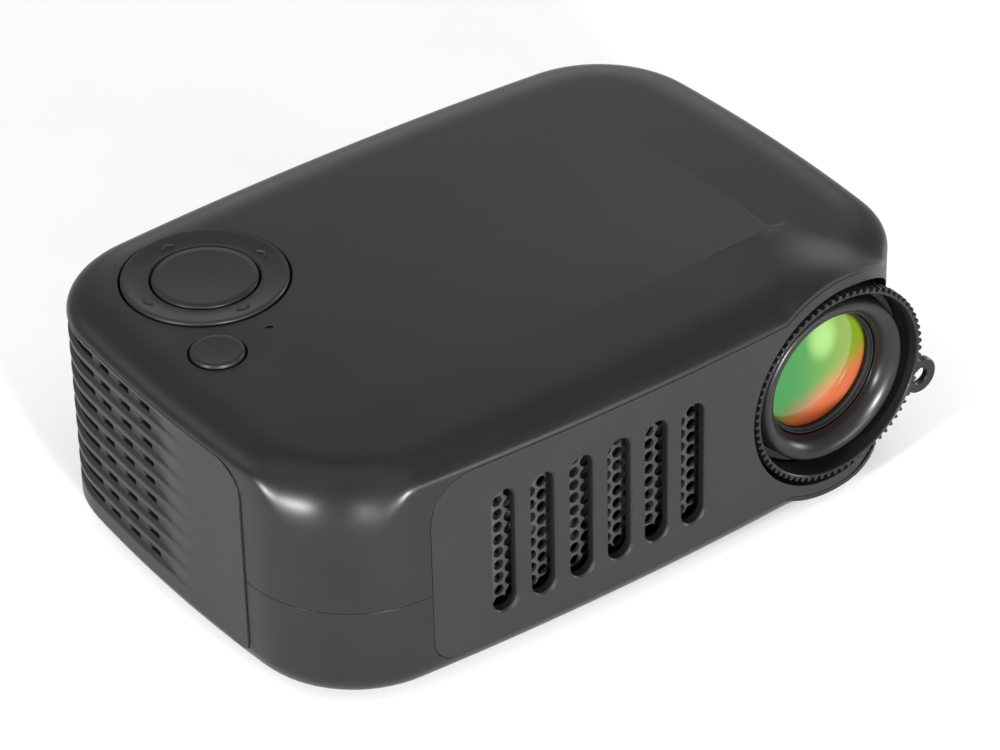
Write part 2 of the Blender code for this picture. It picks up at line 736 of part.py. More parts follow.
def grille_cuts(turn):
    """Slots of a side grille; turn is 1 on the left side and -1 on the right."""
    cuts = []
    wall_x = -turn * HALF_LENGTH
    for row in range(GRILLE_ROWS):
        z = GRILLE_ROW_FIRST + row * GRILLE_ROW_PITCH
        spans = []
        for column in range(GRILLE_COLUMNS):
            y = GRILLE_COLUMN_FIRST + column * GRILLE_COLUMN_PITCH
            spans.append((y - GRILLE_SLOT_LENGTH / 2, y + GRILLE_SLOT_LENGTH / 2))
        spans.append((GRILLE_LONG_START, GRILLE_LONG_END if turn > 0 else GRILLE_NEAR - GRILLE_END_MARGIN))
        for start, stop in spans:
            ends = sorted((turn * start, turn * stop))
            outward, inward = (6 * MM, 10 * MM) if turn > 0 else (10 * MM, 6 * MM)
            low = (wall_x - outward, ends[0], z - GRILLE_SLOT_HEIGHT / 2)
            high = (wall_x + inward, ends[1], z + GRILLE_SLOT_HEIGHT / 2)
            cuts.append(box("grille_slot", low, high))
    return cuts


def grille(name, body, turn):
    panel = wall_strip(name, 0.0, CASE_HEIGHT)
    combine(panel, "INTERSECT", [body])
    combine(panel, "DIFFERENCE", grille_cuts(turn))
    panel.data.materials.append(finish("panel_plastic"))
    return smooth(panel)


def sockets():
    """(name, x, (width, height), finish) of each socket on the main board's rear edge."""
    return (
        ("hdmi_socket", HDMI_X, HDMI_SIZE, "plated_steel"),
        ("usb_socket", USB_X, USB_SIZE, "plated_steel"),
        ("av_socket", AV_X, AV_SIZE, "dark_plastic"),
        ("power_inlet", DC_X, DC_SIZE, "dark_plastic"),
        ("card_socket", CARD_X, CARD_SIZE, "plated_steel"),
    )


def board_top():
    return BOARD_BOTTOM + BOARD_THICKNESS


def rear_panel():
    panel = wall_strip("rear_panel", 0.0, CASE_HEIGHT)
    combine(panel, "INTERSECT", [rear_panel_body("rear_shape", 0.0)])
    cuts = []
    for name, x, (width, height), _ in sockets():
        low = (x - width / 2 - FIT, HALF_DEPTH - 6 * MM, board_top())
        high = (x + width / 2 + FIT, HALF_DEPTH + MM, board_top() + height + 2 * FIT)
        cuts.append(box("socket_hole", low, high))
    window = (IR_X, HALF_DEPTH - 3 * MM, IR_Z)
    cuts.append(rod("window_hole", IR_RADIUS + FIT, -3 * MM, 6 * MM, window, "Y", 20))
    combine(panel, "DIFFERENCE", cuts)
    panel.data.materials.append(finish("panel_plastic"))
    return smooth(panel)


# ---------------------------------------------------------------- lens


def lens_centre(y=0.0):
    return (LENS_X, y, LENS_Z)


def focus_ring():
    """Toothed ring with a holed tab; its origin is on the lens axis."""
    maker = bmesh.new()
    root = RING_TIP_RADIUS - RING_TOOTH_HEIGHT
    outer = []
    for tooth in range(RING_TEETH):
        for share, radius in ((0.0, root), (0.5, RING_TIP_RADIUS)):
            outer.append((2 * pi * (tooth + share) / RING_TEETH, radius))
    back = RING_FRONT + RING_LENGTH
    rings = []
    for y, bore in ((RING_FRONT, False), (back, False), (back, True), (RING_FRONT, True)):
        ring = []
        for angle, radius in outer:
            reach = RING_BORE if bore else radius
            ring.append(maker.verts.new((LENS_X + reach * cos(angle), y, LENS_Z + reach * sin(angle))))
        rings.append(ring)
    for first, second in zip(rings, rings[1:] + rings[:1]):
        bridge(maker, first, second)
    ring = to_object("focus_ring", maker, "lens_plastic", lens_centre())
    front = RING_FRONT + TAB_SETBACK
    across = TAB_CENTRE_RADIUS * cos(TAB_ANGLE)
    middle = (LENS_X + across, 0, LENS_Z + TAB_CENTRE_RADIUS * sin(TAB_ANGLE))
    lug = rod("lug", TAB_ROUND, front, front + TAB_THICKNESS, middle, "Y", 24)
    start = (RING_BORE + RING_TIP_RADIUS) / 2 - 0.2 * MM
    across = Vector((-sin(TAB_ANGLE), 0, cos(TAB_ANGLE))) * TAB_ROUND
    along = Vector((cos(TAB_ANGLE), 0, sin(TAB_ANGLE)))
    base = Vector(lens_centre())
    corners = []
    for reach, side in ((start, -1), (TAB_CENTRE_RADIUS, -1), (TAB_CENTRE_RADIUS, 1), (start, 1)):
        point = base + along * reach + across * side * (1.0 if reach > start else 1.15)
        corners.append((point.x, point.z))
    neck = prism("neck", corners, front, front + TAB_THICKNESS, "Y")
    combine(neck, "UNION", [lug])
    hole = rod("lug_hole", TAB_HOLE_RADIUS, front - MM, front + TAB_THICKNESS + MM, middle, "Y", 20)
    combine(neck, "DIFFERENCE", [hole])
    combine(ring, "UNION", [neck])
    return smooth(ring, 25)


def barrel_front():
    return RING_FRONT + BEZEL_SETBACK


def mount_bore():
    return RING_BORE - FIT - MOUNT_WALL


def lens_mount():
    """The fixed tube that the ring turns on, with the plate that closes the light box."""
    start = RING_FRONT + MOUNT_SETBACK
    outer, end_face = RING_BORE - FIT, start + MOUNT_LENGTH
    body = tube("lens_mount", mount_bore(), outer, start, end_face, lens_centre(), "Y", 48, "dark_plastic")
    end = start + MOUNT_LENGTH
    low = (LENS_X - BOX_WIDTH / 2, end - 1.6 * MM, LENS_Z - BOX_HEIGHT / 2)
    high = (LENS_X + BOX_WIDTH / 2, end + 0.2 * MM, LENS_Z + BOX_HEIGHT / 2)
    plate = box("mount_plate", low, high)
    reach = mount_bore() + 0.01 * MM
    bore = lens_cone("mount_bore", reach, reach, end - FAR / 4, end + FAR / 4)
    combine(plate, "DIFFERENCE", [bore])
    combine(body, "UNION", [plate])
    return smooth(body)


def barrel_radius():
    return mount_bore() - FIT


def lens_barrel():
    front = barrel_front()
    throat_y = front + BEZEL_DEPTH
    back = front + BARREL_LENGTH
    outer = barrel_radius()
    profile = [(BEZEL_THROAT, back)]
    profile.append((BEZEL_THROAT, throat_y))
    for step in range(1, 6):
        angle = pi / 2 * step / 5
        radius = BEZEL_THROAT + (outer - BEZEL_THROAT - 0.4 * MM) * sin(angle)
        profile.append((radius, front + BEZEL_DEPTH * cos(angle) ** 1.4))
    profile.append((outer, front + 0.4 * MM))
    profile.append((outer, back))
    profile.reverse()
    return smooth(turned("lens_barrel", profile, lens_centre(), "Y", 48, "lens_plastic"))


def retainer_front():
    return barrel_front() + BEZEL_DEPTH + 0.3 * MM


def lens_retainer():
    front = retainer_front()
    back = front + RETAINER_DEPTH
    outer = BEZEL_THROAT - FIT
    profile = (
        (RETAINER_THROAT, back),
        (RETAINER_THROAT, back - 0.3 * MM),
        (outer - 0.7 * MM, front + 0.4 * MM),
        (outer - 0.7 * MM, front),
        (outer, front),
        (outer, back),
    )
    return smooth(turned("lens_retainer", profile[::-1], lens_centre(), "Y", 48, "dark_plastic"))


def glass(name, radius, face, sag, edge, back_sag, material="clear_glass", steps=40):
    """A lens element: domed front at face, straight edge, domed or flat back."""
    profile = [(0, face - sag)]
    for step in range(1, 5):
        share = step / 5
        profile.append((radius * share, face - sag * (1 - share**2)))
    profile.append((radius, face))
    profile.append((radius, face + edge))
    for step in range(4, 0, -1):
        share = step / 5
        if back_sag:
            profile.append((radius * share, face + edge + back_sag * (1 - share**2)))
    profile.append((0, face + edge + back_sag))
    return smooth(turned(name, profile, lens_centre(), "Y", steps, material))


def front_lens():
    face = retainer_front() + RETAINER_DEPTH + FIT
    radius = BEZEL_THROAT - FIT
    reach = RETAINER_THROAT - FIT
    sag = FRONT_GLASS_SAG
    profile = [(0, face - sag)]
    for step in range(1, 5):
        share = step / 4
        profile.append((reach * share, face - sag * (1 - share**2)))
    profile.append((radius, face))
    profile.append((radius, face + FRONT_GLASS_EDGE))
    profile.append((0, face + FRONT_GLASS_EDGE))
    return smooth(turned("front_lens", profile, lens_centre(), "Y", 40, "clear_glass"))


def rear_lens():
    face = retainer_front() + REAR_GLASS_SETBACK
    return glass("rear_lens", BEZEL_THROAT - FIT, face, REAR_GLASS_SAG, REAR_GLASS_EDGE, REAR_GLASS_SAG)


# ---------------------------------------------------------------- light engine


def box_front():
    return RING_FRONT + MOUNT_SETBACK + MOUNT_LENGTH + 0.2 * MM + FIT


def engine_slab(name, place, thickness, material):
    """A flat plate across the light box, place behind its front."""
    half_width = BOX_WIDTH / 2 - BOX_WALL - FIT
    half_height = BOX_HEIGHT / 2 - BOX_WALL - FIT
    front = box_front() + place
    low = (LENS_X - half_width, front, LENS_Z - half_height)
    high = (LENS_X + half_width, front + thickness, LENS_Z + half_height)
    return box(name, low, high, material)


def light_box():
    front = box_front()
    half = (BOX_WIDTH / 2, BOX_HEIGHT / 2)
    body = box(
        "light_box",
        (LENS_X - half[0], front, LENS_Z - half[1]),
        (LENS_X + half[0], front + BOX_LENGTH, LENS_Z + half[1]),
        "dark_plastic",
    )
    inner = (half[0] - BOX_WALL, half[1] - BOX_WALL)
    hollow = box(
        "box_hollow",
        (LENS_X - inner[0], front - MM, LENS_Z - inner[1]),
        (LENS_X + inner[0], front + BOX_LENGTH + MM, LENS_Z + inner[1]),
    )
    return combine(body, "DIFFERENCE", [hollow])


def condenser_lens():
    face = box_front() + CONDENSER_PLACE + CONDENSER_SAG
    return glass("condenser_lens", CONDENSER_RADIUS, face, CONDENSER_SAG, CONDENSER_EDGE, 0.0, steps=32)


def light_reflector():
    front = box_front() + CONDENSER_PLACE + CONDENSER_SAG + CONDENSER_EDGE + FIT
    back = front + REFLECTOR_LENGTH
    wide = CONDENSER_RADIUS - REFLECTOR_WALL
    profile = (
        (wide, front),
        (CONDENSER_RADIUS, front),
        (REFLECTOR_THROAT + REFLECTOR_WALL, back),
        (REFLECTOR_THROAT, back),
    )
    return smooth(turned("light_reflector", profile, lens_centre(), "Y", 32, "cast_aluminium"))


def led_front():
    return box_front() + BOX_LENGTH + FIT


def led_module():
    front = led_front()
    half = LED_BOARD_SIZE / 2
    board = box(
        "led_module",
        (LENS_X - half, front, LENS_Z - half),
        (LENS_X + half, front + LED_BOARD_THICKNESS, LENS_Z + half),
        "cast_aluminium",
    )
    chip = LED_CHIP_SIZE / 2
    emitter = box(
        "emitter",
        (LENS_X - chip, front - LED_CHIP_HEIGHT, LENS_Z - chip),
        (LENS_X + chip, front + LED_BOARD_THICKNESS / 2, LENS_Z + chip),
    )
    return combine(board, "UNION", [emitter])


def heat_sink():
    front = led_front() + LED_BOARD_THICKNESS + FIT
    half = SINK_WIDTH / 2
    low_z = LENS_Z - SINK_HEIGHT / 2
    high_z = LENS_Z + SINK_HEIGHT / 2
    fin_pitch = (SINK_WIDTH - SINK_FIN_THICKNESS) / (SINK_FINS - 1)
    points = [(LENS_X - half, front), (LENS_X + half, front)]
    for fin in reversed(range(SINK_FINS)):
        left = LENS_X - half + fin * fin_pitch
        if fin < SINK_FINS - 1:
            points.append((left + SINK_FIN_THICKNESS, front + SINK_BASE))
        points.append((left + SINK_FIN_THICKNESS, front + SINK_DEPTH))
        points.append((left, front + SINK_DEPTH))
        if fin > 0:
            points.append((left, front + SINK_BASE))
    sink = prism("heat_sink", points, low_z, high_z, "Z", "cast_aluminium")
    return combine(sink, "INTERSECT", [outline_post("sink_limit", WALL + 2 * FIT, -FAR, 3 * FAR)])


# ---------------------------------------------------------------- fan


def mesh_back():
    left = FRONT_SLOT_FIRST - FRONT_SLOT_WIDTH / 2 - MESH_MARGIN
    return outline_front(left) + WALL + MESH_GAP + MESH_THICKNESS


def fan_centre():
    return (FAN_X, mesh_back() + FAN_GAP, (WALL + CASE_HEIGHT - WALL) / 2)


def fan_frame():
    x, y, z = fan_centre()
    half = FAN_SIZE / 2
    frame = box("fan_frame", (x - half, y, z - half), (x + half, y + FAN_DEPTH, z + half), "dark_plastic")
    combine(frame, "DIFFERENCE", [rod("fan_bore", FAN_BORE, -MM, FAN_DEPTH + MM, (x, y, z), "Y", 36)])
    back = y + FAN_DEPTH
    parts = [rod("fan_base", FAN_HUB_RADIUS, FAN_DEPTH - FAN_BASE, FAN_DEPTH, (x, y, z), "Y", 24)]
    for turn in range(3):
        maker = bmesh.new()
        bmesh.ops.create_cube(maker, size=1.0)
        reach = FAN_BORE + MM
        bmesh.ops.scale(maker, vec=(reach, FAN_BASE * 0.9, 2 * MM), verts=maker.verts)
        bmesh.ops.translate(maker, vec=(reach / 2, 0, 0), verts=maker.verts)
        maker.transform(Matrix.Rotation(2 * pi * turn / 3 + 0.5, 4, "Y"))
        maker.transform(Matrix.Translation((x, back - FAN_BASE / 2, z)))
        parts.append(to_object("strut", maker))
    combine(frame, "UNION", parts)
    return smooth(frame)


def fan_rotor():
    """Hub and blades; its origin is on the spindle."""
    x, y, z = fan_centre()
    hub_back = FAN_DEPTH - FAN_BASE - FIT
    rotor = rod("fan_rotor", FAN_HUB_RADIUS, 0.8 * MM, hub_back, (x, y, z), "Y", 24, "dark_plastic")
    blades = []
    for blade in range(FAN_BLADES):
        maker = bmesh.new()
        bmesh.ops.create_cube(maker, size=1.0)
        reach = FAN_BLADE_RADIUS - FAN_HUB_RADIUS + MM
        bmesh.ops.scale(maker, vec=(reach, 0.9 * MM, 8.5 * MM), verts=maker.verts)
        maker.transform(Matrix.Rotation(radians(36), 4, "X"))
        bmesh.ops.translate(maker, vec=(FAN_HUB_RADIUS - MM + reach / 2, 0, 0), verts=maker.verts)
        maker.transform(Matrix.Rotation(2 * pi * blade / FAN_BLADES, 4, "Y"))
        maker.transform(Matrix.Translation((x, y + (0.8 * MM + hub_back) / 2, z)))
        blades.append(to_object("blade", maker))
    combine(rotor, "UNION", blades)
    return smooth(rotor)


# ---------------------------------------------------------------- keys


def key_flange_top():
    return CASE_HEIGHT - WALL - KEY_DROP


def nav_ring():
    """Four-way ring with a dished face and a flange that keeps it in the case."""
    top = CASE_HEIGHT + KEY_PROUD
    flange = key_flange_top()
    bottom = flange - KEY_FLANGE
    bore = OK_RADIUS + KEY_CLEARANCE
    profile = (
        (bore + 1.0 * MM, bottom),
        (NAV_RADIUS + KEY_FLANGE_REACH, bottom),
        (NAV_RADIUS + KEY_FLANGE_REACH, flange - KEY_FLANGE_CHAMFER),
        (NAV_RADIUS + KEY_FLANGE_REACH - KEY_FLANGE_CHAMFER, flange),
        (NAV_RADIUS, flange),
        (NAV_RADIUS, top - 0.35 * MM),
        (NAV_RADIUS - 0.4 * MM, top),
        (NAV_RADIUS - 1.0 * MM, top - 0.1 * MM),
        ((NAV_RADIUS + bore) / 2, top - 0.55 * MM),
        (bore + 0.5 * MM, top - 0.4 * MM),
        (bore, top - 0.5 * MM),
        (bore, flange + 0.9 * MM),
        (bore + 1.0 * MM, flange + 0.9 * MM),
    )
    return smooth(turned("nav_ring", profile, (NAV_X, NAV_Y, 0), "Z", 36, "key_plastic"))


def nav_carrier():
    """Thin flexing ring under the pad, which lets it rock."""
    top = key_flange_top() - KEY_FLANGE - SWITCH_GAP
    outer = NAV_RADIUS + KEY_FLANGE_REACH
    bore = outer - CARRIER_WIDTH
    centre = (NAV_X, NAV_Y, 0)
    low = top - CARRIER_THICKNESS
    return tube("nav_carrier", bore, outer, low, top, centre, steps=32, material="rubber")


def round_key(name, x, y, radius, top):
    flange = key_flange_top()
    profile = (
        (0, flange - KEY_FLANGE),
        (radius + 0.8 * MM, flange - KEY_FLANGE),
        (radius + 0.8 * MM, flange),
        (radius, flange),
        (radius, top - 0.3 * MM),
        (radius - 0.35 * MM, top),
        (0, top + 0.05 * MM),
    )
    return smooth(turned(name, profile, (x, y, 0), "Z", 40, "key_plastic"))


def light_pipe():
    low = key_board_top() + 1.5 * MM
    centre = (PIPE_X, PIPE_Y, 0)
    top = CASE_HEIGHT - 0.3 * MM
    return rod("light_pipe", PIPE_RADIUS, low, top, centre, steps=12, material="frosted_plastic")


def switch_places():
    """(name, x, y) of the switch under each key."""
    places = [("ok_switch", NAV_X, NAV_Y), ("power_switch", POWER_X, POWER_Y)]
    for index, name in enumerate(("right_switch", "up_switch", "left_switch", "down_switch")):
        angle = index * pi / 2
        places.append((name, NAV_X + SWITCH_CIRCLE * cos(angle), NAV_Y + SWITCH_CIRCLE * sin(angle)))
    return places


def tact_switch(name, x, y):
    base = key_board_top() + 0.02 * MM
    half = SWITCH_SIZE / 2
    body = box(name, (x - half, y - half, base), (x + half, y + half, base + SWITCH_HEIGHT), "dark_plastic")
    stem_top = base + SWITCH_HEIGHT + SWITCH_STEM
    stem = rod("stem", SWITCH_STEM_RADIUS, base + 0.3 * MM, stem_top, (x, y, 0), steps=12)
    return combine(body, "UNION", [stem])


def key_board_limits():
    left = NAV_X - SWITCH_CIRCLE - SWITCH_SIZE / 2 - KEY_BOARD_MARGIN
    right = NAV_X + SWITCH_CIRCLE + SWITCH_SIZE / 2 + KEY_BOARD_MARGIN
    low = POWER_Y - SWITCH_SIZE / 2 - KEY_BOARD_MARGIN
    high = NAV_Y + SWITCH_CIRCLE + SWITCH_SIZE / 2 + KEY_BOARD_MARGIN
    return left, right, low, high


def key_board_posts():
    left, right, low, _ = key_board_limits()
    return ((right - 3 * MM, low + 2.5 * MM), (left + 1.7 * MM, (POWER_Y + NAV_Y) / 2 - 1.5 * MM))


def key_board():
    left, right, low, high = key_board_limits()
    top = key_board_top() - 0.28 * MM
    board = box("key_board", (left, low, top - KEY_BOARD_THICKNESS), (right, high, top), "circuit_board")
    return combine(board, "INTERSECT", [outline_post("key_board_limit", BOARD_INSET, 0, 3 * FAR)])


# ---------------------------------------------------------------- main board


def main_board():
    high_y = HALF_DEPTH + FAR
    near, far = (BOARD_LEFT, BOARD_FRONT, BOARD_BOTTOM), (BOARD_RIGHT, high_y, board_top())
    board = box("main_board", near, far, "circuit_board")
    combine(board, "INTERSECT", [outline_post("board_limit", BOARD_INSET, -FAR, 3 * FAR)])
    holes = []
    for x, y in SCREW_PLACES:
        under, over = BOARD_BOTTOM - MM, board_top() + MM
        holes.append(rod("board_hole", SCREW_POST + FIT, under, over, (x, y, 0), steps=16))
    return combine(board, "DIFFERENCE", holes)


def socket(name, x, size, material):
    """A socket shell on the board, open to the back of the case."""
    width, height = size
    low_z = board_top() + FIT
    back = HALF_DEPTH - FRONT_BOW - SOCKET_RECESS
    near, far = (x - width / 2, back - SOCKET_DEPTH, low_z), (x + width / 2, back, low_z + height)
    body = box(name, near, far, material)
    middle = low_z + height / 2
    if name in ("av_socket", "power_inlet"):
        radius = height / 2 - 1.2 * MM
        hole = rod("socket_bore", radius, -SOCKET_HOLLOW, MM, (x, back, middle), "Y", 20)
    else:
        rim = SOCKET_RIM if height > 3 * MM else SOCKET_RIM / 2
        low = (x - width / 2 + rim, back - SOCKET_HOLLOW, low_z + rim)
        high = (x + width / 2 - rim, back + MM, low_z + height - rim)
        hole = box("socket_bore", low, high)
    combine(body, "DIFFERENCE", [hole])
    if name in ("usb_socket", "hdmi_socket"):
        tongue_low = (x - width / 3, back - SOCKET_HOLLOW - MM, middle - 0.6 * MM)
        tongue_high = (x + width / 3, back - 1.5 * MM, middle + 0.6 * MM)
        combine(body, "UNION", [box("tongue", tongue_low, tongue_high)])
    return body


def ir_window():
    front = HALF_DEPTH - FRONT_BOW - WALL
    centre = (IR_X, front, IR_Z)
    return smooth(rod("ir_window", IR_RADIUS, 0.0, WALL + 0.6 * MM, centre, "Y", 20, "lens_plastic"))


def speaker():
    left = -HALF_LENGTH + WALL + 0.8 * MM
    maker_centre = (left, SPEAKER_Y, SPEAKER_Z)
    profile = (
        (0, SPEAKER_DEPTH),
        (SPEAKER_RADIUS * 0.55, SPEAKER_DEPTH),
        (SPEAKER_RADIUS * 0.6, SPEAKER_DEPTH * 0.5),
        (SPEAKER_RADIUS, SPEAKER_DEPTH * 0.35),
        (SPEAKER_RADIUS, 0),
        (SPEAKER_RADIUS * 0.85, 0),
        (SPEAKER_RADIUS * 0.4, SPEAKER_DEPTH * 0.25),
        (0, SPEAKER_DEPTH * 0.2),
    )
    body = turned("speaker", profile, (0, 0, 0), "Z", 28, "dark_plastic")
    body.data.transform(Matrix.Rotation(pi / 2, 4, "Y"))
    body.location = maker_centre
    return smooth(body)


def wire(name, points):
    """A lead inside the case, as a smooth tube through a few points."""
    curve = bpy.data.curves.new(name, "CURVE")
    curve.dimensions = "3D"
    curve.bevel_depth = WIRE_RADIUS
    curve.bevel_resolution = 2
    curve.use_fill_caps = True
    samples = []
    for first, second in zip(points, points[1:]):
        for step in range(4):
            samples.append(Vector(first).lerp(Vector(second), step / 4))
    samples.append(Vector(points[-1]))
    for _ in range(6):
        inner = [(a + b + c) / 3 for a, b, c in zip(samples, samples[1:], samples[2:])]
        samples = [samples[0]] + inner + [samples[-1]]
    spline = curve.splines.new("POLY")
    spline.points.add(len(samples) - 1)
    for point, sample in zip(spline.points, samples):
        point.co = (*sample, 1.0)
    curve.materials.append(finish("rubber"))
    obj = bpy.data.objects.new(name, curve)
    bpy.context.scene.collection.objects.link(obj)
    obj.parent = bpy.data.objects["projector"]
    return obj


def wires():
    top = board_top() + WIRE_RADIUS + FIT
    fan_x, fan_y, fan_z = fan_centre()
    fan_back = fan_y + FAN_DEPTH + WIRE_RADIUS + FIT
    fan_path = (
        (fan_x + 12 * MM, fan_back, fan_z - 6 * MM),
        (fan_x + 12 * MM, fan_back + MM, top + 2 * MM),
        (fan_x + 14 * MM, BOARD_FRONT + 6 * MM, top),
    )
    wire("fan_lead", fan_path)
    led_back = led_front() + 0.8 * MM
    led_left = LENS_X - LED_BOARD_SIZE / 2 - WIRE_RADIUS - FIT
    box_left = LENS_X - BOX_WIDTH / 2 - WIRE_RADIUS - FIT
    beside = box_left - 2 * MM
    led_path = (
        (led_left, led_back, LENS_Z - 4 * MM),
        (beside, led_back, LENS_Z - 5 * MM),
        (beside, led_back - 3 * MM, top + 3 * MM),
        (beside, led_back - 12 * MM, top),
    )
    wire("led_lead", led_path)
    speaker_right = -HALF_LENGTH + WALL + 0.8 * MM + SPEAKER_DEPTH + WIRE_RADIUS + FIT
    speaker_path = (
        (speaker_right, SPEAKER_Y, SPEAKER_Z - 3 * MM),
        (speaker_right + 2 * MM, SPEAKER_Y, top + 3 * MM),
        (speaker_right + 8 * MM, SPEAKER_Y, top),
    )
    wire("speaker_lead", speaker_path)


# ---------------------------------------------------------------- underside


def foot_places():
    return ((-FOOT_X, -FOOT_Y), (FOOT_X, -FOOT_Y), (-FOOT_X, FOOT_Y), (FOOT_X, FOOT_Y))


def rubber_foot(name, x, y):
    top = FOOT_RECESS - FIT
    profile = (
        (0, -FOOT_HEIGHT),
        (FOOT_RADIUS - 0.5 * MM, -FOOT_HEIGHT),
        (FOOT_RADIUS, -FOOT_HEIGHT + 0.5 * MM),
        (FOOT_RADIUS, top),
        (0, top),
    )
    return smooth(turned(name, profile, (x, y, 0), "Z", 24, "rubber"))


def case_screw(name, x, y):
    head = SCREW_SINK
    profile = (
        (0, head),
        (SCREW_HEAD, head),
        (SCREW_HEAD, head + SCREW_HEAD_HEIGHT),
        (SCREW_SHANK, head + SCREW_HEAD_HEIGHT),
        (SCREW_SHANK, head + SCREW_LENGTH),
        (0, head + SCREW_LENGTH),
    )
    screw = turned(name, profile, (x, y, 0), "Z", 16, "plated_steel")
    cuts = []
    for size in ((2.6 * MM, 0.6 * MM), (0.6 * MM, 2.6 * MM)):
        half_x, half_y = size[0] / 2, size[1] / 2
        near, far = (x - half_x, y - half_y, head - MM), (x + half_x, y + half_y, head + 0.9 * MM)
        cuts.append(box("cross", near, far))
    return combine(screw, "DIFFERENCE", cuts)


def tripod_insert():
    profile = (
        (TRIPOD_BORE, 0.1 * MM),
        (TRIPOD_RADIUS, 0.1 * MM),
        (TRIPOD_RADIUS, TRIPOD_LENGTH),
        (TRIPOD_BORE, TRIPOD_LENGTH),
    )
    return smooth(turned("tripod_insert", profile, (0, TRIPOD_Y, 0), "Z", 24, "brass"))


# ---------------------------------------------------------------- assembly


def build():
    clear_scene()
    stand = bpy.data.objects.new("projector", None)
    bpy.context.scene.collection.objects.link(stand)
    stand.location = (0, 0, FOOT_HEIGHT)

    top_shell()
    bottom_shell()
    front_panel()
    vent_mesh()
    grille("left_grille", left_grille_body("left_shape", 0.0), 1)
    grille("right_grille", right_grille_body("right_shape", 0.0), -1)
    rear_panel()

    focus_ring()
    lens_mount()
    lens_barrel()
    lens_retainer()
    front_lens()
    rear_lens()

    light_box()
    engine_slab("front_fresnel", FRESNEL_FRONT_PLACE, FRESNEL_THICKNESS, "frosted_plastic")
    engine_slab("lcd_panel", LCD_PLACE, LCD_THICKNESS, "clear_glass")
    engine_slab("rear_fresnel", FRESNEL_REAR_PLACE, FRESNEL_THICKNESS, "frosted_plastic")
    engine_slab("heat_glass", HEAT_GLASS_PLACE, HEAT_GLASS_THICKNESS, "clear_glass")
    condenser_lens()
    light_reflector()
    led_module()
    heat_sink()

    fan_frame()
    fan_rotor()

    nav_ring()
    nav_carrier()
    round_key("ok_button", NAV_X, NAV_Y, OK_RADIUS, CASE_HEIGHT + KEY_PROUD - 0.3 * MM)
    round_key("power_button", POWER_X, POWER_Y, POWER_RADIUS, CASE_HEIGHT + KEY_PROUD)
    light_pipe()
    for name, x, y in switch_places():
        tact_switch(name, x, y)
    key_board()

    main_board()
    for name, x, size, material in sockets():
        socket(name, x, size, material)
    ir_window()
    speaker()
    wires()

    for index, (x, y) in enumerate(foot_places()):
        rubber_foot(f"foot_{index + 1}", x, y)
    for index, (x, y) in enumerate(SCREW_PLACES):
        case_screw(f"case_screw_{index + 1}", x, y)
    tripod_insert()


build()
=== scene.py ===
"""The looks of the home projector: fine moulded case, panels, lens, keys, materials, light and camera."""

import json
from math import asin, atan2, cos, floor, pi, radians, sin, sqrt

import bmesh
import bpy
from mathutils import Matrix, Vector


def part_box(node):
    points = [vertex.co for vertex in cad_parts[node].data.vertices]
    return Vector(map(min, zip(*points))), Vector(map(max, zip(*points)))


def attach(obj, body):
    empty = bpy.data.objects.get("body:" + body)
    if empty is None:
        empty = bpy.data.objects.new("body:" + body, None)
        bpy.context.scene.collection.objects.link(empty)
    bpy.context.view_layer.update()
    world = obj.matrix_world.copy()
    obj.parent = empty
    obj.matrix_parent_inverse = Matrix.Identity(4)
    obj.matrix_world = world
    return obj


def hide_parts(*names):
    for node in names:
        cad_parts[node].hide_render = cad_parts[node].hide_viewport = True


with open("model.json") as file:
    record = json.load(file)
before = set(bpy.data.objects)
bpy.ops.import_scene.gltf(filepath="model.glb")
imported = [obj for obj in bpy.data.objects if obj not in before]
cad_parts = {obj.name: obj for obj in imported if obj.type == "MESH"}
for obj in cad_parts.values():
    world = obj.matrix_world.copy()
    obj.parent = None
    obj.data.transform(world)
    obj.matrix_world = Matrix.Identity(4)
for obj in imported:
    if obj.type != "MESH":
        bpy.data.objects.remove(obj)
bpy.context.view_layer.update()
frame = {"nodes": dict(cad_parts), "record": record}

MM = 0.001

# ---- places read from the frame

barrel_low, barrel_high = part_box("lens_barrel")
front_low, front_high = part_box("front_panel")
rear_low, rear_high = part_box("rear_panel")
left_low, left_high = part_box("left_grille")
right_low, right_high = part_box("right_grille")
ring_low, ring_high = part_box("focus_ring")

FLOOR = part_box("foot_1")[0].z
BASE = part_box("bottom_shell")[0].z
HALF_LENGTH = -left_low.x
HALF_DEPTH = -front_low.y
LENS_X = (barrel_low.x + barrel_high.x) / 2
LENS_Z = (barrel_low.z + barrel_high.z) / 2
BARREL_FRONT, BARREL_BACK = barrel_low.y, barrel_high.y
BARREL_RADIUS = (barrel_high.x - barrel_low.x) / 2
RING_FRONT, RING_BACK = ring_low.y, ring_high.y
PANEL_LOW, PANEL_HIGH = left_low.z, left_high.z
FRONT_LEFT, FRONT_RIGHT = front_low.x, HALF_LENGTH - 2.6 * MM
FRONT_BACK = front_high.y
REAR_LEFT, REAR_RIGHT = rear_low.x, rear_high.x
LEFT_FRONT, LEFT_BACK = left_low.y, left_high.y
RIGHT_FRONT, RIGHT_BACK = right_low.y, right_high.y


def centre_of(node):
    low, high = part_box(node)
    return (low + high) / 2


# ---- driving dimensions

CASE_HEIGHT = 41.5 * MM
CORNER_RADIUS = 20.2 * MM
FRONT_BOW = 1.5 * MM
SIDE_BOW = 0.9 * MM
WALL = 1.8 * MM
BOTTOM_ROUND = 4.3 * MM
TOP_DROP = 3.2 * MM
TOP_REACH = 8.4 * MM
TOP_FULLNESS = 2.2
NEAR_CORNER_DROP = 7.5 * MM
NEAR_CORNER_BLEND = radians(24)
SEAM_HEIGHT = 17.35 * MM
SEAM = 0.12 * MM
LINE = 0.14 * MM

FRONT_STEPS = 56
BACK_STEPS = 14
SIDE_STEPS = 12
CORNER_STEPS = 16
ROUND_STEPS = 14

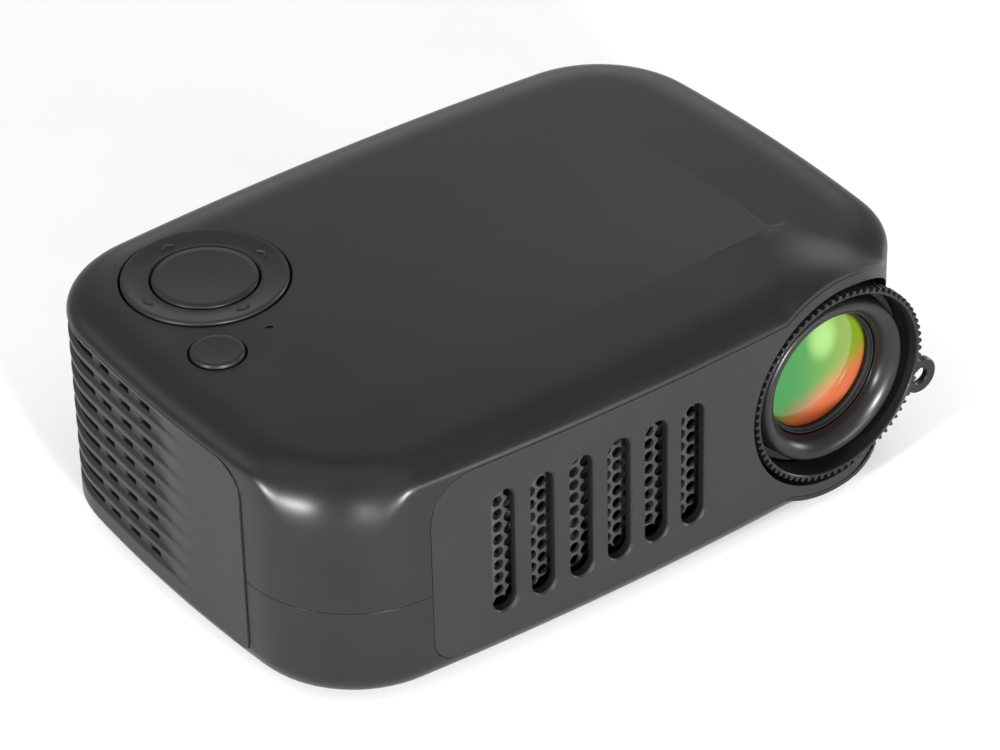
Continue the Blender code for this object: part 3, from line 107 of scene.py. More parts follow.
PANEL_TOP_ROUND = 8.0 * MM
PANEL_LOW_ROUND = 4.5 * MM
GRILLE_ROUND = 5.5 * MM
GRILLE_LOW_ROUND = 1.4 * MM
COLLAR_RADIUS = 20.45 * MM
COLLAR_HOLE = 18.6 * MM
COLLAR_DEPTH = 6.5 * MM
HOOD_RADIUS = 21.4 * MM
HOOD_BACK_RADIUS = 19.7 * MM
HOOD_FLAT = 3.0 * MM
HOOD_BACK = -25.0 * MM
HOOD_BLEND = 1.1 * MM

SLOTS = 6
SLOT_FIRST = -27.8 * MM
SLOT_PITCH = 7.486 * MM
SLOT_WIDTH = 4.65 * MM
SLOT_LOW = 8.5 * MM
SLOT_HIGH = 31.9 * MM
SLOT_EDGE = 0.35 * MM

HOLE_PITCH = 2.49 * MM
HOLE_RADIUS = 0.98 * MM
HOLE_COLUMN = -27.0 * MM
HOLE_ROW = 27.8 * MM

LOUVRE_ROWS = 9
LOUVRE_FIRST = 7.5 * MM
LOUVRE_PITCH = 3.6 * MM
LOUVRE_DEPTH = 0.62 * MM
LOUVRE_COLUMNS = (5.2 * MM, 11.5 * MM, 17.8 * MM)
LOUVRE_LENGTH = 3.3 * MM
LOUVRE_HEIGHT = 1.05 * MM
LOUVRE_LONG = 21.5 * MM
LOUVRE_LONG_END = 36.0 * MM
LOUVRE_FADE = (-4.5 * MM, 3.0 * MM)
FLARE = 0.3 * MM

TEETH = 75
TOOTH_TIP = 17.84 * MM
TOOTH_ROOT = 17.2 * MM
TOOTH_LENGTH = 2.2 * MM
RIM_INNER = 16.65 * MM
TAB_ANGLE = radians(-19.6)
TAB_REACH = 19.7 * MM
TAB_ROUND = 3.3 * MM
TAB_HOLE = 1.45 * MM
TAB_THICKNESS = 1.4 * MM
TAB_SETBACK = 0.8 * MM
THROAT = 11.44 * MM
RETAINER_BORE = 10.62 * MM
GLASS_REACH = 10.58 * MM
GLASS_RADIUS = 10.9 * MM

NAV_RADIUS = 13.8 * MM
OK_RADIUS = 8.8 * MM
POWER_RADIUS = 4.42 * MM
KEY_GAP = 0.25 * MM
KEY_LIP = 0.22 * MM
KEY_FLANGE = 1.0 * MM
FLANGE_ROOM = 0.5 * MM
FLANGE_LIFT = 0.7 * MM
CHEVRON_RADIUS = 11.4 * MM

SOCKETS = ("hdmi_socket", "usb_socket", "av_socket", "power_inlet", "card_socket")
SOCKET_GAP = 0.28 * MM

FAR = 20 * MM
NODES_LEFT = dict(frame["nodes"])


# ---- mesh helpers


def link(obj):
    bpy.context.scene.collection.objects.link(obj)
    return obj


def to_object(name, maker):
    bmesh.ops.recalc_face_normals(maker, faces=maker.faces)
    mesh = bpy.data.meshes.new(name)
    maker.to_mesh(mesh)
    maker.free()
    return link(bpy.data.objects.new(name, mesh))


def applied(obj):
    """Turns what the modifiers make into the object's own mesh."""
    bpy.context.view_layer.update()
    graph = bpy.context.evaluated_depsgraph_get()
    made = bpy.data.meshes.new_from_object(obj.evaluated_get(graph))
    obj.modifiers.clear()
    obj.data = made
    return obj


def combine(target, operation, cutters):
    """Adds, cuts or keeps what the cutters share with target, which becomes a plain mesh again."""
    for cutter in cutters:
        modifier = target.modifiers.new(cutter.name, "BOOLEAN")
        modifier.operation = operation
        modifier.solver = "MANIFOLD"
        modifier.object = cutter
    applied(target)
    for cutter in cutters:
        bpy.data.objects.remove(cutter, do_unlink=True)
    return target


def joined(target, others):
    """Puts the others' faces into target's mesh."""
    maker = bmesh.new()
    for obj in [target] + list(others):
        maker.from_mesh(obj.data)
    maker.to_mesh(target.data)
    maker.free()
    for obj in others:
        bpy.data.objects.remove(obj, do_unlink=True)
    return target


def smooth(obj, angle=32.0):
    obj.data.shade_smooth()
    obj.data.set_sharp_from_angle(angle=radians(angle))
    return obj


def box(name, low, high):
    maker = bmesh.new()
    bmesh.ops.create_cube(maker, size=1.0)
    low, high = Vector(low), Vector(high)
    bmesh.ops.scale(maker, vec=high - low, verts=maker.verts)
    bmesh.ops.translate(maker, vec=(high + low) / 2, verts=maker.verts)
    return to_object(name, maker)


def bridge(maker, first, second):
    for index, corner in enumerate(first):
        after = (index + 1) % len(first)
        maker.faces.new((corner, first[after], second[after], second[index]))


def lofted(name, rings):
    """A closed body through rings of points, capped at both ends."""
    maker = bmesh.new()
    made = [[maker.verts.new(point) for point in ring] for ring in rings]
    for first, second in zip(made, made[1:]):
        bridge(maker, first, second)
    maker.faces.new(made[0])
    maker.faces.new(made[-1])
    return to_object(name, maker)


def fillet(points, radius, steps):
    """The closed outline with each corner rounded, as far as its sides allow."""
    result = []
    for index, point in enumerate(points):
        corner = Vector(point)
        before = Vector(points[index - 1]) - corner
        after = Vector(points[(index + 1) % len(points)]) - corner
        reach = min(radius, before.length * 0.45, after.length * 0.45)
        start = corner + before.normalized() * reach
        stop = corner + after.normalized() * reach
        for step in range(steps + 1):
            share = step / steps
            first = start.lerp(corner, share)
            second = corner.lerp(stop, share)
            result.append(tuple(first.lerp(second, share)))
    return result


def turned(name, profile, centre, axis="Z", steps=96):
    """A solid of revolution from (radius, height) points, closed on itself or on the axis."""
    maker = bmesh.new()
    rings = []
    for radius, height in profile:
        if radius < 1e-7:
            rings.append([maker.verts.new((0, 0, height))])
            continue
        ring = []
        for step in range(steps):
            angle = 2 * pi * step / steps
            ring.append(maker.verts.new((radius * cos(angle), radius * sin(angle), height)))
        rings.append(ring)
    pairs = list(zip(rings, rings[1:]))
    if len(rings[0]) > 1 and len(rings[-1]) > 1:
        pairs.append((rings[-1], rings[0]))
    for first, second in pairs:
        for step in range(steps):
            after = (step + 1) % steps
            if len(first) == 1:
                maker.faces.new((first[0], second[after], second[step]))
            elif len(second) == 1:
                maker.faces.new((first[step], first[after], second[0]))
            else:
                maker.faces.new((first[step], first[after], second[after], second[step]))
    if axis == "Y":
        maker.transform(Matrix.Rotation(-pi / 2, 4, "X"))
    maker.transform(Matrix.Translation(Vector(centre)))
    return to_object(name, maker)


def prism(name, outline, low, high, axis):
    """The outline carried along an axis from low to high."""
    place = {
        "Z": lambda a, b, level: (a, b, level),
        "Y": lambda a, b, level: (a, level, b),
        "X": lambda a, b, level: (level, a, b),
    }[axis]
    return lofted(name, [[place(a, b, level) for a, b in outline] for level in (low, high)])


def rounded_outline(low, high, rounds, steps=10):
    """A rectangle whose corners, from the lower left and anticlockwise, have their own rounds."""
    corners = ((low[0], low[1]), (high[0], low[1]), (high[0], high[1]), (low[0], high[1]))
    inward = ((1, 1), (-1, 1), (-1, -1), (1, -1))
    points = []
    for index, (corner, side, radius) in enumerate(zip(corners, inward, rounds)):
        if radius <= 0:
            points.append(corner)
            continue
        for step in range(steps + 1):
            angle = pi + (index + step / steps) * pi / 2
            x = corner[0] + side[0] * radius + radius * cos(angle)
            y = corner[1] + side[1] * radius + radius * sin(angle)
            points.append((x, y))
    return points


def ramp(value, low, high):
    """0 below low, 1 above high, smooth between."""
    share = min(1.0, max(0.0, (value - low) / (high - low)))
    return share * share * (3 - 2 * share)


# ---- the case's outline


def bow_radius(half_width, bow):
    return (half_width**2 + bow**2) / (2 * bow)


CORE_X = HALF_LENGTH - CORNER_RADIUS
CORE_Y = HALF_DEPTH - CORNER_RADIUS
CORNER_X = CORE_X - SIDE_BOW
CORNER_Y = CORE_Y - FRONT_BOW
FRONT_ARC = bow_radius(CORNER_X, FRONT_BOW)
SIDE_ARC = bow_radius(CORNER_Y, SIDE_BOW)
FRONT_SWING = asin(CORNER_X / FRONT_ARC)
SIDE_SWING = asin(CORNER_Y / SIDE_ARC)


def plan_point(angle, inset=0.0):
    """The point of the case's outline whose outward normal has this angle, moved inwards."""
    from_y = atan2(abs(cos(angle)), abs(sin(angle)))
    from_x = pi / 2 - from_y
    x, y = CORNER_X, CORNER_Y
    if from_y <= FRONT_SWING:
        x = FRONT_ARC * sin(from_y)
        y = CORE_Y - FRONT_ARC + FRONT_ARC * cos(from_y)
    elif from_x <= SIDE_SWING:
        x = CORE_X - SIDE_ARC + SIDE_ARC * cos(from_x)
        y = SIDE_ARC * sin(from_x)
    reach = CORNER_RADIUS - inset
    x = x * (1 if cos(angle) >= 0 else -1) + reach * cos(angle)
    y = y * (1 if sin(angle) >= 0 else -1) + reach * sin(angle)
    return x, y


def plan_angles():
    angles = []
    for quarter, steps in enumerate((SIDE_STEPS, BACK_STEPS, SIDE_STEPS, FRONT_STEPS)):
        middle = quarter * pi / 2
        swing, following = (SIDE_SWING, FRONT_SWING) if quarter % 2 == 0 else (FRONT_SWING, SIDE_SWING)
        for step in range(steps):
            angles.append(middle - swing + 2 * swing * step / steps)
        start, stop = middle + swing, middle + pi / 2 - following
        for step in range(CORNER_STEPS):
            angles.append(start + (stop - start) * step / CORNER_STEPS)
    return angles


ANGLES = plan_angles()


def angle_where(coordinate, value, low, high):
    """The normal angle between low and high at which the outline's x or y has this value."""
    rising = plan_point(high)[coordinate] > plan_point(low)[coordinate]
    for _ in range(40):
        middle = (low + high) / 2
        if (plan_point(middle)[coordinate] < value) == rising:
            low = middle
        else:
            high = middle
    return (low + high) / 2


def front_at(x):
    """The front surface's y at this x."""
    return plan_point(angle_where(0, x, pi, 2 * pi))[1]


def hood_radius(y):
    share = ramp(y, -HALF_DEPTH + HOOD_FLAT, HOOD_BACK)
    return HOOD_RADIUS + (HOOD_BACK_RADIUS - HOOD_RADIUS) * share


def swell(point):
    """Moves a point of the skin out to the lens hood, with a soft blend at the hood's foot."""
    x, y, z = point
    upper = z > BASE + CASE_HEIGHT - TOP_DROP - 0.001 * MM
    lower = z < BASE + BOTTOM_ROUND
    if y > HOOD_BACK + 2 * MM or not (upper or lower):
        return point
    out = Vector((x - LENS_X, z - LENS_Z))
    here = out.length
    hood = hood_radius(y)
    near = max(HOOD_BLEND - abs(here - hood), 0.0)
    wanted = max(here, hood) + near * near / (4 * HOOD_BLEND)
    if wanted <= here or here < 5 * MM:
        return point
    out *= wanted / here
    return (LENS_X + out.x, y, max(LENS_Z + out.y, BASE + 0.02 * MM))


def top_drop(angle):
    """Height of the roll over the top edge: deeper round the front left corner than along the sides."""
    start, stop = pi + SIDE_SWING, 1.5 * pi - FRONT_SWING
    near = min(angle - start, stop - angle)
    return TOP_DROP + NEAR_CORNER_DROP * ramp(near, 0, NEAR_CORNER_BLEND)


def skin_levels(drop):
    """(inset, height) pairs up the outside of the case and on over its top."""
    levels = []
    for step in range(9):
        angle = pi / 2 * step / 8
        levels.append((BOTTOM_ROUND * (1 - sin(angle)), BOTTOM_ROUND * (1 - cos(angle))))
    wall_top = CASE_HEIGHT - drop
    for step in range(1, 7):
        levels.append((0.0, BOTTOM_ROUND + (wall_top - BOTTOM_ROUND) * step / 7))
    for step in range(ROUND_STEPS + 1):
        angle = pi / 2 * step / ROUND_STEPS
        inwards = TOP_REACH * (1 - cos(angle) ** (2 / TOP_FULLNESS))
        upwards = drop * sin(angle) ** (2 / TOP_FULLNESS)
        levels.append((inwards, wall_top + upwards))
    for step in range(1, 11):
        levels.append((TOP_REACH + (CORNER_RADIUS - 0.6 * MM - TOP_REACH) * step / 10, CASE_HEIGHT))
    return levels


def skin():
    columns = [skin_levels(top_drop(angle)) for angle in ANGLES]
    rings = []
    for level in zip(*columns):
        ring = []
        for angle, (inset, height) in zip(ANGLES, level):
            ring.append(swell((*plan_point(angle, inset), BASE + height)))
        rings.append(ring)
    return lofted("skin", rings)


def hollow():
    """The room inside the case, a wall's thickness in from the skin and narrower under the rolled edge."""
    levels = (
        (WALL + 2 * MM, WALL),
        (WALL, WALL + 2 * MM),
        (WALL, CASE_HEIGHT - 5.5 * MM),
        (WALL + 3 * MM, CASE_HEIGHT - 2.9 * MM),
        (WALL + 8 * MM, CASE_HEIGHT - WALL),
    )
    rings = [[(*plan_point(angle, inset), BASE + height) for angle in ANGLES] for inset, height in levels]
    return lofted("hollow", rings)


# ---- panel openings


def lens_cylinder(name, radius, front, back):
    """A cylinder on the lens axis."""
    profile = ((0, front), (radius, front), (radius, back), (0, back))
    return turned(name, profile, (LENS_X, 0, LENS_Z), "Y", 120)


def panel_outline(first, last, rounds, grow):
    """A panel's outline between two places along its wall, made larger all round by grow."""
    return rounded_outline(
        (first - grow, PANEL_LOW - grow),
        (last + grow, PANEL_HIGH + grow),
        [size and size + grow for size in rounds],
    )


def front_shape(name, grow):
    """The front panel with its lens collar."""
    outline = panel_outline(FRONT_LEFT, FRONT_RIGHT, (PANEL_LOW_ROUND, 0, 0, PANEL_TOP_ROUND), grow)
    body = prism(name, outline, -HALF_DEPTH - FAR, FRONT_BACK + grow, "Y")
    back = -HALF_DEPTH + COLLAR_DEPTH + grow
    collar = lens_cylinder("collar", COLLAR_RADIUS + grow, -HALF_DEPTH - FAR - MM, back)
    return combine(body, "UNION", [collar])


def rear_shape(name, grow):
    outline = panel_outline(REAR_LEFT, REAR_RIGHT, (0, PANEL_LOW_ROUND, PANEL_TOP_ROUND, 0), grow)
    return prism(name, outline, HALF_DEPTH - CORNER_RADIUS, HALF_DEPTH + FAR, "Y")


def left_shape(name, grow):
    outline = panel_outline(LEFT_FRONT, LEFT_BACK, (GRILLE_LOW_ROUND, 0, 0, GRILLE_ROUND), grow)
    return prism(name, outline, -HALF_LENGTH - FAR, -HALF_LENGTH + CORNER_RADIUS, "X")


def right_shape(name, grow):
    outline = panel_outline(RIGHT_FRONT, RIGHT_BACK, (0, GRILLE_LOW_ROUND, GRILLE_ROUND, 0), grow)
    return prism(name, outline, HALF_LENGTH - CORNER_RADIUS, HALF_LENGTH + FAR, "X")


def lens_hole():
    return lens_cylinder("lens_hole", COLLAR_HOLE, -HALF_DEPTH - FAR, RING_BACK + 0.3 * MM)


def openings():
    """What the four panels and the lens take out of the case, each with a fine line left round it."""
    return [
        lens_hole(),
        front_shape("front_opening", LINE),
        rear_shape("rear_opening", LINE),
        left_shape("left_opening", LINE),
        right_shape("right_opening", LINE),
    ]


def layer(low, high):
    """Everything between two heights."""
    x, y = HALF_LENGTH + FAR, HALF_DEPTH + FAR
    return box("layer", (-x, -y, low), (x, y, high))


def rod(name, radius, low, high, centre, steps=48):
    return turned(name, ((0, low), (radius, low), (radius, high), (0, high)), centre, "Z", steps)


def case_half(name, low, high, holes):
    shell = skin()
    shell.name = name
    combine(shell, "DIFFERENCE", [hollow()])
    combine(shell, "INTERSECT", [layer(low, high)])
    combine(shell, "DIFFERENCE", openings() + holes)
    return smooth(shell)


def key_hole(node, radius):
    """A key's hole, with a softened lip, and under it the room that the key's flange moves in."""
    middle = centre_of(node)
    low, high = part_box(node)
    reach = radius + KEY_GAP
    profile = (
        (0, -3 * MM), (reach, -3 * MM), (reach, -KEY_LIP),
        (reach + KEY_LIP, 0), (reach + MM, MM), (0, MM),
    )
    room = (high.x - low.x) / 2 + FLANGE_ROOM
    ceiling = low.z + KEY_FLANGE + FLANGE_LIFT
    return [
        turned("key_hole", profile, (middle.x, middle.y, BASE + CASE_HEIGHT), "Z", 96),
        rod("flange_room", room, low.z - MM, ceiling, (middle.x, middle.y, 0), 96),
    ]


def top_shell():
    holes = key_hole("nav_ring", NAV_RADIUS) + key_hole("power_button", POWER_RADIUS)
    pipe = centre_of("light_pipe")
    holes.append(rod("pipe_hole", 0.6 * MM, -3 * MM, MM, (pipe.x, pipe.y, BASE + CASE_HEIGHT), 24))
    return case_half("top_case", BASE + SEAM_HEIGHT + SEAM / 2, BASE + 3 * FAR, holes)


def floor_hole(node, radius, depth):
    """A round hole up into the underside, below this node."""
    middle = centre_of(node)
    return rod(node + "_hole", radius, -MM, depth, (middle.x, middle.y, BASE))


def bottom_shell():
    holes = []
    for index in range(1, 5):
        holes.append(floor_hole(f"foot_{index}", 4.25 * MM, 0.6 * MM))
        holes.append(floor_hole(f"case_screw_{index}", 2.9 * MM, 3 * MM))
    holes.append(floor_hole("tripod_insert", 4.1 * MM, 3 * MM))
    return case_half("bottom_case", BASE - MM, BASE + SEAM_HEIGHT - SEAM / 2, holes)


# ---- panels


def strip(name, depth, first, last, steps, low, high, rows, dent=None):
    """A stretch of the case's wall between two normal angles, its face pushed in by dent(y, z)."""
    maker = bmesh.new()
    outer, inner = [], []
    for column in range(steps + 1):
        angle = first + (last - first) * column / steps
        face = plan_point(angle)
        side = []
        for row in range(rows + 1):
            z = low + (high - low) * row / rows
            push = dent(face[1], z) if dent else 0.0
            side.append(maker.verts.new((*plan_point(angle, push), z)))
        outer.append(side)
        back = plan_point(angle, depth)
        inner.append([maker.verts.new((*back, z)) for z in (low, high)])
    for one, two in zip(outer, outer[1:]):
        for row in range(rows):
            maker.faces.new((one[row], two[row], two[row + 1], one[row + 1]))
    for (one, two), (one_in, two_in) in zip(zip(outer, outer[1:]), zip(inner, inner[1:])):
        maker.faces.new((one_in[0], two_in[0], two_in[1], one_in[1]))
        maker.faces.new((one[0], two[0], two_in[0], one_in[0]))
        maker.faces.new((one[-1], two[-1], two_in[1], one_in[1]))
    for side, back in ((outer[0], inner[0]), (outer[-1], inner[-1])):
        maker.faces.new(side + [back[1], back[0]])
    return to_object(name, maker)


def slot_cutter(x):
    """A stadium-shaped cutter with a chamfered mouth."""
    face = front_at(x)
    rings = []
    for depth, grow in ((-0.8 * MM, SLOT_EDGE + 0.8 * MM), (SLOT_EDGE, 0.0), (6 * MM, 0.0)):
        half = SLOT_WIDTH / 2 + grow
        low = (x - half, BASE + SLOT_LOW - grow)
        high = (x + half, BASE + SLOT_HIGH + grow)
        outline = rounded_outline(low, high, (half * 0.99,) * 4, 10)
        rings.append([(a, face + depth, b) for a, b in outline])
    return lofted("slot", rings)


def front_panel():
    first = angle_where(0, FRONT_LEFT - MM, pi, 1.5 * pi)
    low, high = BASE - 2 * MM, BASE + CASE_HEIGHT + 2 * MM
    panel = strip("front_face", WALL, first, 2 * pi - 0.15, 130, low, high, 40)
    combine(panel, "INTERSECT", [front_shape("front_shape", 0.0)])
    collar = lens_cylinder("front_collar", COLLAR_RADIUS, -HALF_DEPTH - FAR, -HALF_DEPTH + COLLAR_DEPTH)
    post = [[(*plan_point(angle, WALL / 2), z) for angle in ANGLES] for z in (-FAR, 3 * FAR)]
    combine(collar, "INTERSECT", [lofted("collar_limit", post)])
    combine(panel, "UNION", [collar])
    combine(panel, "DIFFERENCE", [lens_hole()])
    combine(panel, "DIFFERENCE", [slot_cutter(SLOT_FIRST + SLOT_PITCH * index) for index in range(SLOTS)])
    return smooth(panel)


def louvre_dent(turn):
    """How far the side grille's face is pushed in: a saw tooth under each row of slots."""

    def dent(y, z):
        along = turn * y
        if along < LOUVRE_FADE[0]:
            return -FLARE * ramp(-along, 14.5 * MM, 21.4 * MM)
        strength = LOUVRE_DEPTH * ramp(along, *LOUVRE_FADE)
        place = (z - BASE - LOUVRE_FIRST) / LOUVRE_PITCH
        row = round(place)
        if row < 0 or row >= LOUVRE_ROWS:
            return 0.0
        offset = place - row
        if offset < -0.16:
            return strength * ramp(offset, -0.30, -0.16)
        return strength * (1 - ramp(offset, 0.12, 0.50))

    return dent


def louvre_cutters(turn):
    cutters = []
    wall = -turn * HALF_LENGTH
    long_end = LOUVRE_LONG_END if turn > 0 else -RIGHT_FRONT - 2.5 * MM
    for row in range(LOUVRE_ROWS):
        z = BASE + LOUVRE_FIRST + row * LOUVRE_PITCH
        spans = [(y - LOUVRE_LENGTH / 2, y + LOUVRE_LENGTH / 2) for y in LOUVRE_COLUMNS]
        spans.append((LOUVRE_LONG, long_end))
        for start, stop in spans:
            ends = sorted((turn * start, turn * stop))
            reach = sorted((wall - turn * 6 * MM, wall + turn * 10 * MM))
            half = LOUVRE_HEIGHT / 2
            outline = rounded_outline((ends[0], z - half), (ends[1], z + half), (0.25 * MM,) * 4, 4)
            cutters.append(prism("louvre", outline, reach[0], reach[1], "X"))
    return cutters


def grille(name, shape, turn, first, last):
    panel = strip(name, WALL, first, last, 90, BASE, BASE + CASE_HEIGHT - 2 * MM, 150, louvre_dent(turn))
    combine(panel, "INTERSECT", [shape(name + "_shape", 0.0)])
    combine(panel, "DIFFERENCE", louvre_cutters(turn))
    return smooth(panel, 28)


def left_grille():
    first = angle_where(1, LEFT_BACK + MM, pi / 2, pi)
    last = angle_where(1, LEFT_FRONT - MM, pi, 1.5 * pi)
    return grille("left_vents", left_shape, 1, first, last)


def right_grille():
    first = angle_where(1, RIGHT_FRONT - MM, 1.5 * pi, 2 * pi)
    last = 2 * pi + angle_where(1, RIGHT_BACK + MM, 0, pi / 2)
    return grille("right_vents", right_shape, -1, first, last)


def rear_panel():
    first = angle_where(0, REAR_RIGHT + MM, 0, pi / 2)
    last = angle_where(0, REAR_LEFT - MM, pi / 2, pi)
    panel = strip("rear_face", WALL, first, last, 80, BASE, BASE + CASE_HEIGHT - 2 * MM, 8)
    combine(panel, "INTERSECT", [rear_shape("rear_shape", 0.0)])
    holes = []
    for node in SOCKETS:
        low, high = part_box(node)
        start = (low.x - SOCKET_GAP, low.z - SOCKET_GAP)
        stop = (high.x + SOCKET_GAP, high.z + SOCKET_GAP)
        outline = rounded_outline(start, stop, (0.6 * MM,) * 4, 5)
        holes.append(prism("socket_hole", outline, HALF_DEPTH - 6 * MM, HALF_DEPTH + MM, "Y"))
    window = centre_of("ir_window")
    radius = (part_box("ir_window")[1].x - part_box("ir_window")[0].x) / 2 + 0.15 * MM
    profile = ((0, 0), (radius, 0), (radius, 9 * MM), (0, 9 * MM))
    holes.append(turned("window_hole", profile, (window.x, HALF_DEPTH - 6 * MM, window.z), "Y", 48))
    combine(panel, "DIFFERENCE", holes)
    return smooth(panel)


# ---- geometry nodes


class Tree:
    """A geometry node tree that is built by short calls."""

    def __init__(self, name, inputs):
        self.group = bpy.data.node_groups.new(name, "GeometryNodeTree")
        self.group.interface.new_socket("Geometry", in_out="INPUT", socket_type="NodeSocketGeometry")
        self.identifiers = {}
        for label, (kind, value) in inputs.items():
            socket = self.group.interface.new_socket(label, in_out="INPUT", socket_type=kind)
            if value is not None:
                socket.default_value = value
            self.identifiers[label] = socket.identifier
        self.group.interface.new_socket("Geometry", in_out="OUTPUT", socket_type="NodeSocketGeometry")
        self.start = self.group.nodes.new("NodeGroupInput")
        self.stop = self.group.nodes.new("NodeGroupOutput")

    def __getitem__(self, label):
        return self.start.outputs[label]

    def add(self, kind, settings=None, **values):
        node = self.group.nodes.new(kind)
        for label, value in (settings or {}).items():
            setattr(node, label, value)
        for label, value in values.items():
            key = int(label[1:]) if label[0] == "i" and label[1:].isdigit() else label.replace("_", " ")
            socket = node.inputs[key]
            if isinstance(value, bpy.types.NodeSocket):
                self.group.links.new(value, socket)
            else:
                socket.default_value = value
        return node

    def maths(self, operation, first, second=0.0):
        return self.add("ShaderNodeMath", {"operation": operation}, i0=first, i1=second).outputs[0]

    def finish(self, geometry, obj, **values):
        """Realises the geometry, gives it the material input, and leaves it as obj's plain mesh."""
        whole = self.add("GeometryNodeRealizeInstances", Geometry=geometry).outputs[0]
        merged = self.add("GeometryNodeMergeByDistance", Geometry=whole, Distance=0.004 * MM).outputs[0]
        dressed = self.add("GeometryNodeSetMaterial", Geometry=merged, Material=self["Finish"])
        self.group.links.new(dressed.outputs[0], self.stop.inputs[0])
        modifier = obj.modifiers.new(self.group.name, "NODES")
        modifier.node_group = self.group
        for label, value in values.items():
            modifier[self.identifiers[label]] = value
        return applied(obj)


def hole_cell(thickness):
    """One six-sided cell of the perforated plate, with its round hole, standing in the XZ plane."""
    maker = bmesh.new()
    steps = 18
    layers = []
    for y in (0.0, thickness):
        outer, inner = [], []
        for step in range(steps):
            angle = 2 * pi * step / steps
            reach = HOLE_PITCH / 2 / cos((angle % (pi / 3)) - pi / 6)
            outer.append(maker.verts.new((reach * cos(angle), y, reach * sin(angle))))
            inner.append(maker.verts.new((HOLE_RADIUS * cos(angle), y, HOLE_RADIUS * sin(angle))))
        layers.append((outer, inner))
    for outer, inner in layers:
        bridge(maker, outer, inner)
    bridge(maker, layers[0][1], layers[1][1])
    return to_object("perforated_plate", maker)


def close_rim(obj):
    """Closes the plate's rim with faces from the open edges in front to the same edges behind."""
    maker = bmesh.new()
    maker.from_mesh(obj.data)
    middle = sum(v.co.y for v in maker.verts) / len(maker.verts)
    places = {}
    for vert in maker.verts:
        if vert.co.y > middle:
            places[(round(vert.co.x * 1e6), round(vert.co.z * 1e6))] = vert
    for edge in [e for e in maker.edges if e.is_boundary]:
        ends = edge.verts
        if ends[0].co.y < middle and ends[1].co.y < middle:
            backs = [places.get((round(v.co.x * 1e6), round(v.co.z * 1e6))) for v in ends]
            if all(backs):
                maker.faces.new((ends[0], ends[1], backs[1], backs[0]))
    bmesh.ops.recalc_face_normals(maker, faces=maker.faces)
    maker.to_mesh(obj.data)
    maker.free()
    return obj


def vent_mesh(material):
    low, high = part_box("vent_mesh")
    step = HOLE_PITCH * sqrt(3) / 2
    before = floor((HOLE_COLUMN - low.x - HOLE_PITCH / 2) / step)
    before -= before % 2
    left = HOLE_COLUMN - before * step
    columns = floor((high.x - left - HOLE_PITCH / 2) / step) + 1
    below = floor((BASE + HOLE_ROW - low.z - HOLE_PITCH) / HOLE_PITCH)
    bottom = BASE + HOLE_ROW - below * HOLE_PITCH
    rows = floor((high.z - bottom - HOLE_PITCH) / HOLE_PITCH) + 1
    inputs = {
        "Columns": ("NodeSocketInt", 1),
        "Rows": ("NodeSocketInt", 1),
        "Pitch": ("NodeSocketFloat", HOLE_PITCH),
        "Finish": ("NodeSocketMaterial", None),
    }
    tree = Tree("perforations", inputs)
    index = tree.add("GeometryNodeInputIndex").outputs[0]
    total = tree.maths("MULTIPLY", tree["Columns"], tree["Rows"])
    points = tree.add("GeometryNodePoints", Count=total).outputs[0]
    column = tree.maths("FLOOR", tree.maths("DIVIDE", tree.maths("ADD", index, 0.5), tree["Rows"]))
    row = tree.maths("SUBTRACT", index, tree.maths("MULTIPLY", column, tree["Rows"]))
    shift = tree.maths("MULTIPLY", tree.maths("MODULO", column, 2.0), 0.5)
    across = tree.maths("MULTIPLY", column, tree.maths("MULTIPLY", tree["Pitch"], sqrt(3) / 2))
    upward = tree.maths("MULTIPLY", tree.maths("SUBTRACT", row, shift), tree["Pitch"])
    place = tree.add("ShaderNodeCombineXYZ", X=across, Z=upward).outputs[0]
    spread = tree.add("GeometryNodeSetPosition", Geometry=points, Position=place).outputs[0]
    copies = tree.add("GeometryNodeInstanceOnPoints", Points=spread, Instance=tree["Geometry"]).outputs[0]
    plate = hole_cell(high.y - low.y)
    tree.finish(copies, plate, Columns=columns, Rows=rows, Pitch=HOLE_PITCH, Finish=material)
    plate.data.transform(Matrix.Translation((left, low.y, bottom)))
    return smooth(close_rim(plate))


def one_tooth():
    """A single rounded tooth, at the right of a ring whose axis runs along Y."""
    half = pi * TOOTH_TIP / TEETH * 0.54
    top = half * 0.55
    crest = top * 0.6
    root = TOOTH_ROOT - 0.15 * MM
    edge = 0.14 * MM
    rings = []
    for y, sink in ((0.0, edge), (edge, 0.0), (TOOTH_LENGTH - edge, 0.0), (TOOTH_LENGTH, edge)):
        reach = TOOTH_TIP - sink
        shoulder = reach - 0.12 * MM
        profile = (
            (root, -half), (shoulder, -top), (reach, -crest),
            (reach, crest), (shoulder, top), (root, half),
        )
        rings.append([(a, y, b) for a, b in profile])
    return lofted("ring_teeth", rings)


def ring_teeth(material):
    inputs = {
        "Count": ("NodeSocketInt", TEETH),
        "Finish": ("NodeSocketMaterial", None),
    }
    tree = Tree("teeth", inputs)
    index = tree.add("GeometryNodeInputIndex").outputs[0]
    points = tree.add("GeometryNodePoints", Count=tree["Count"]).outputs[0]
    angle = tree.maths("MULTIPLY", tree.maths("DIVIDE", index, tree["Count"]), 2 * pi)
    turn = tree.add("ShaderNodeCombineXYZ", Y=angle).outputs[0]
    inputs = {"Points": points, "Instance": tree["Geometry"], "Rotation": turn}
    copies = tree.add("GeometryNodeInstanceOnPoints", **inputs)
    teeth = tree.finish(copies.outputs[0], one_tooth(), Count=TEETH, Finish=material)
    teeth.data.transform(Matrix.Translation((LENS_X, RING_FRONT, LENS_Z)))
    return teeth


# ---- lens and focus ring


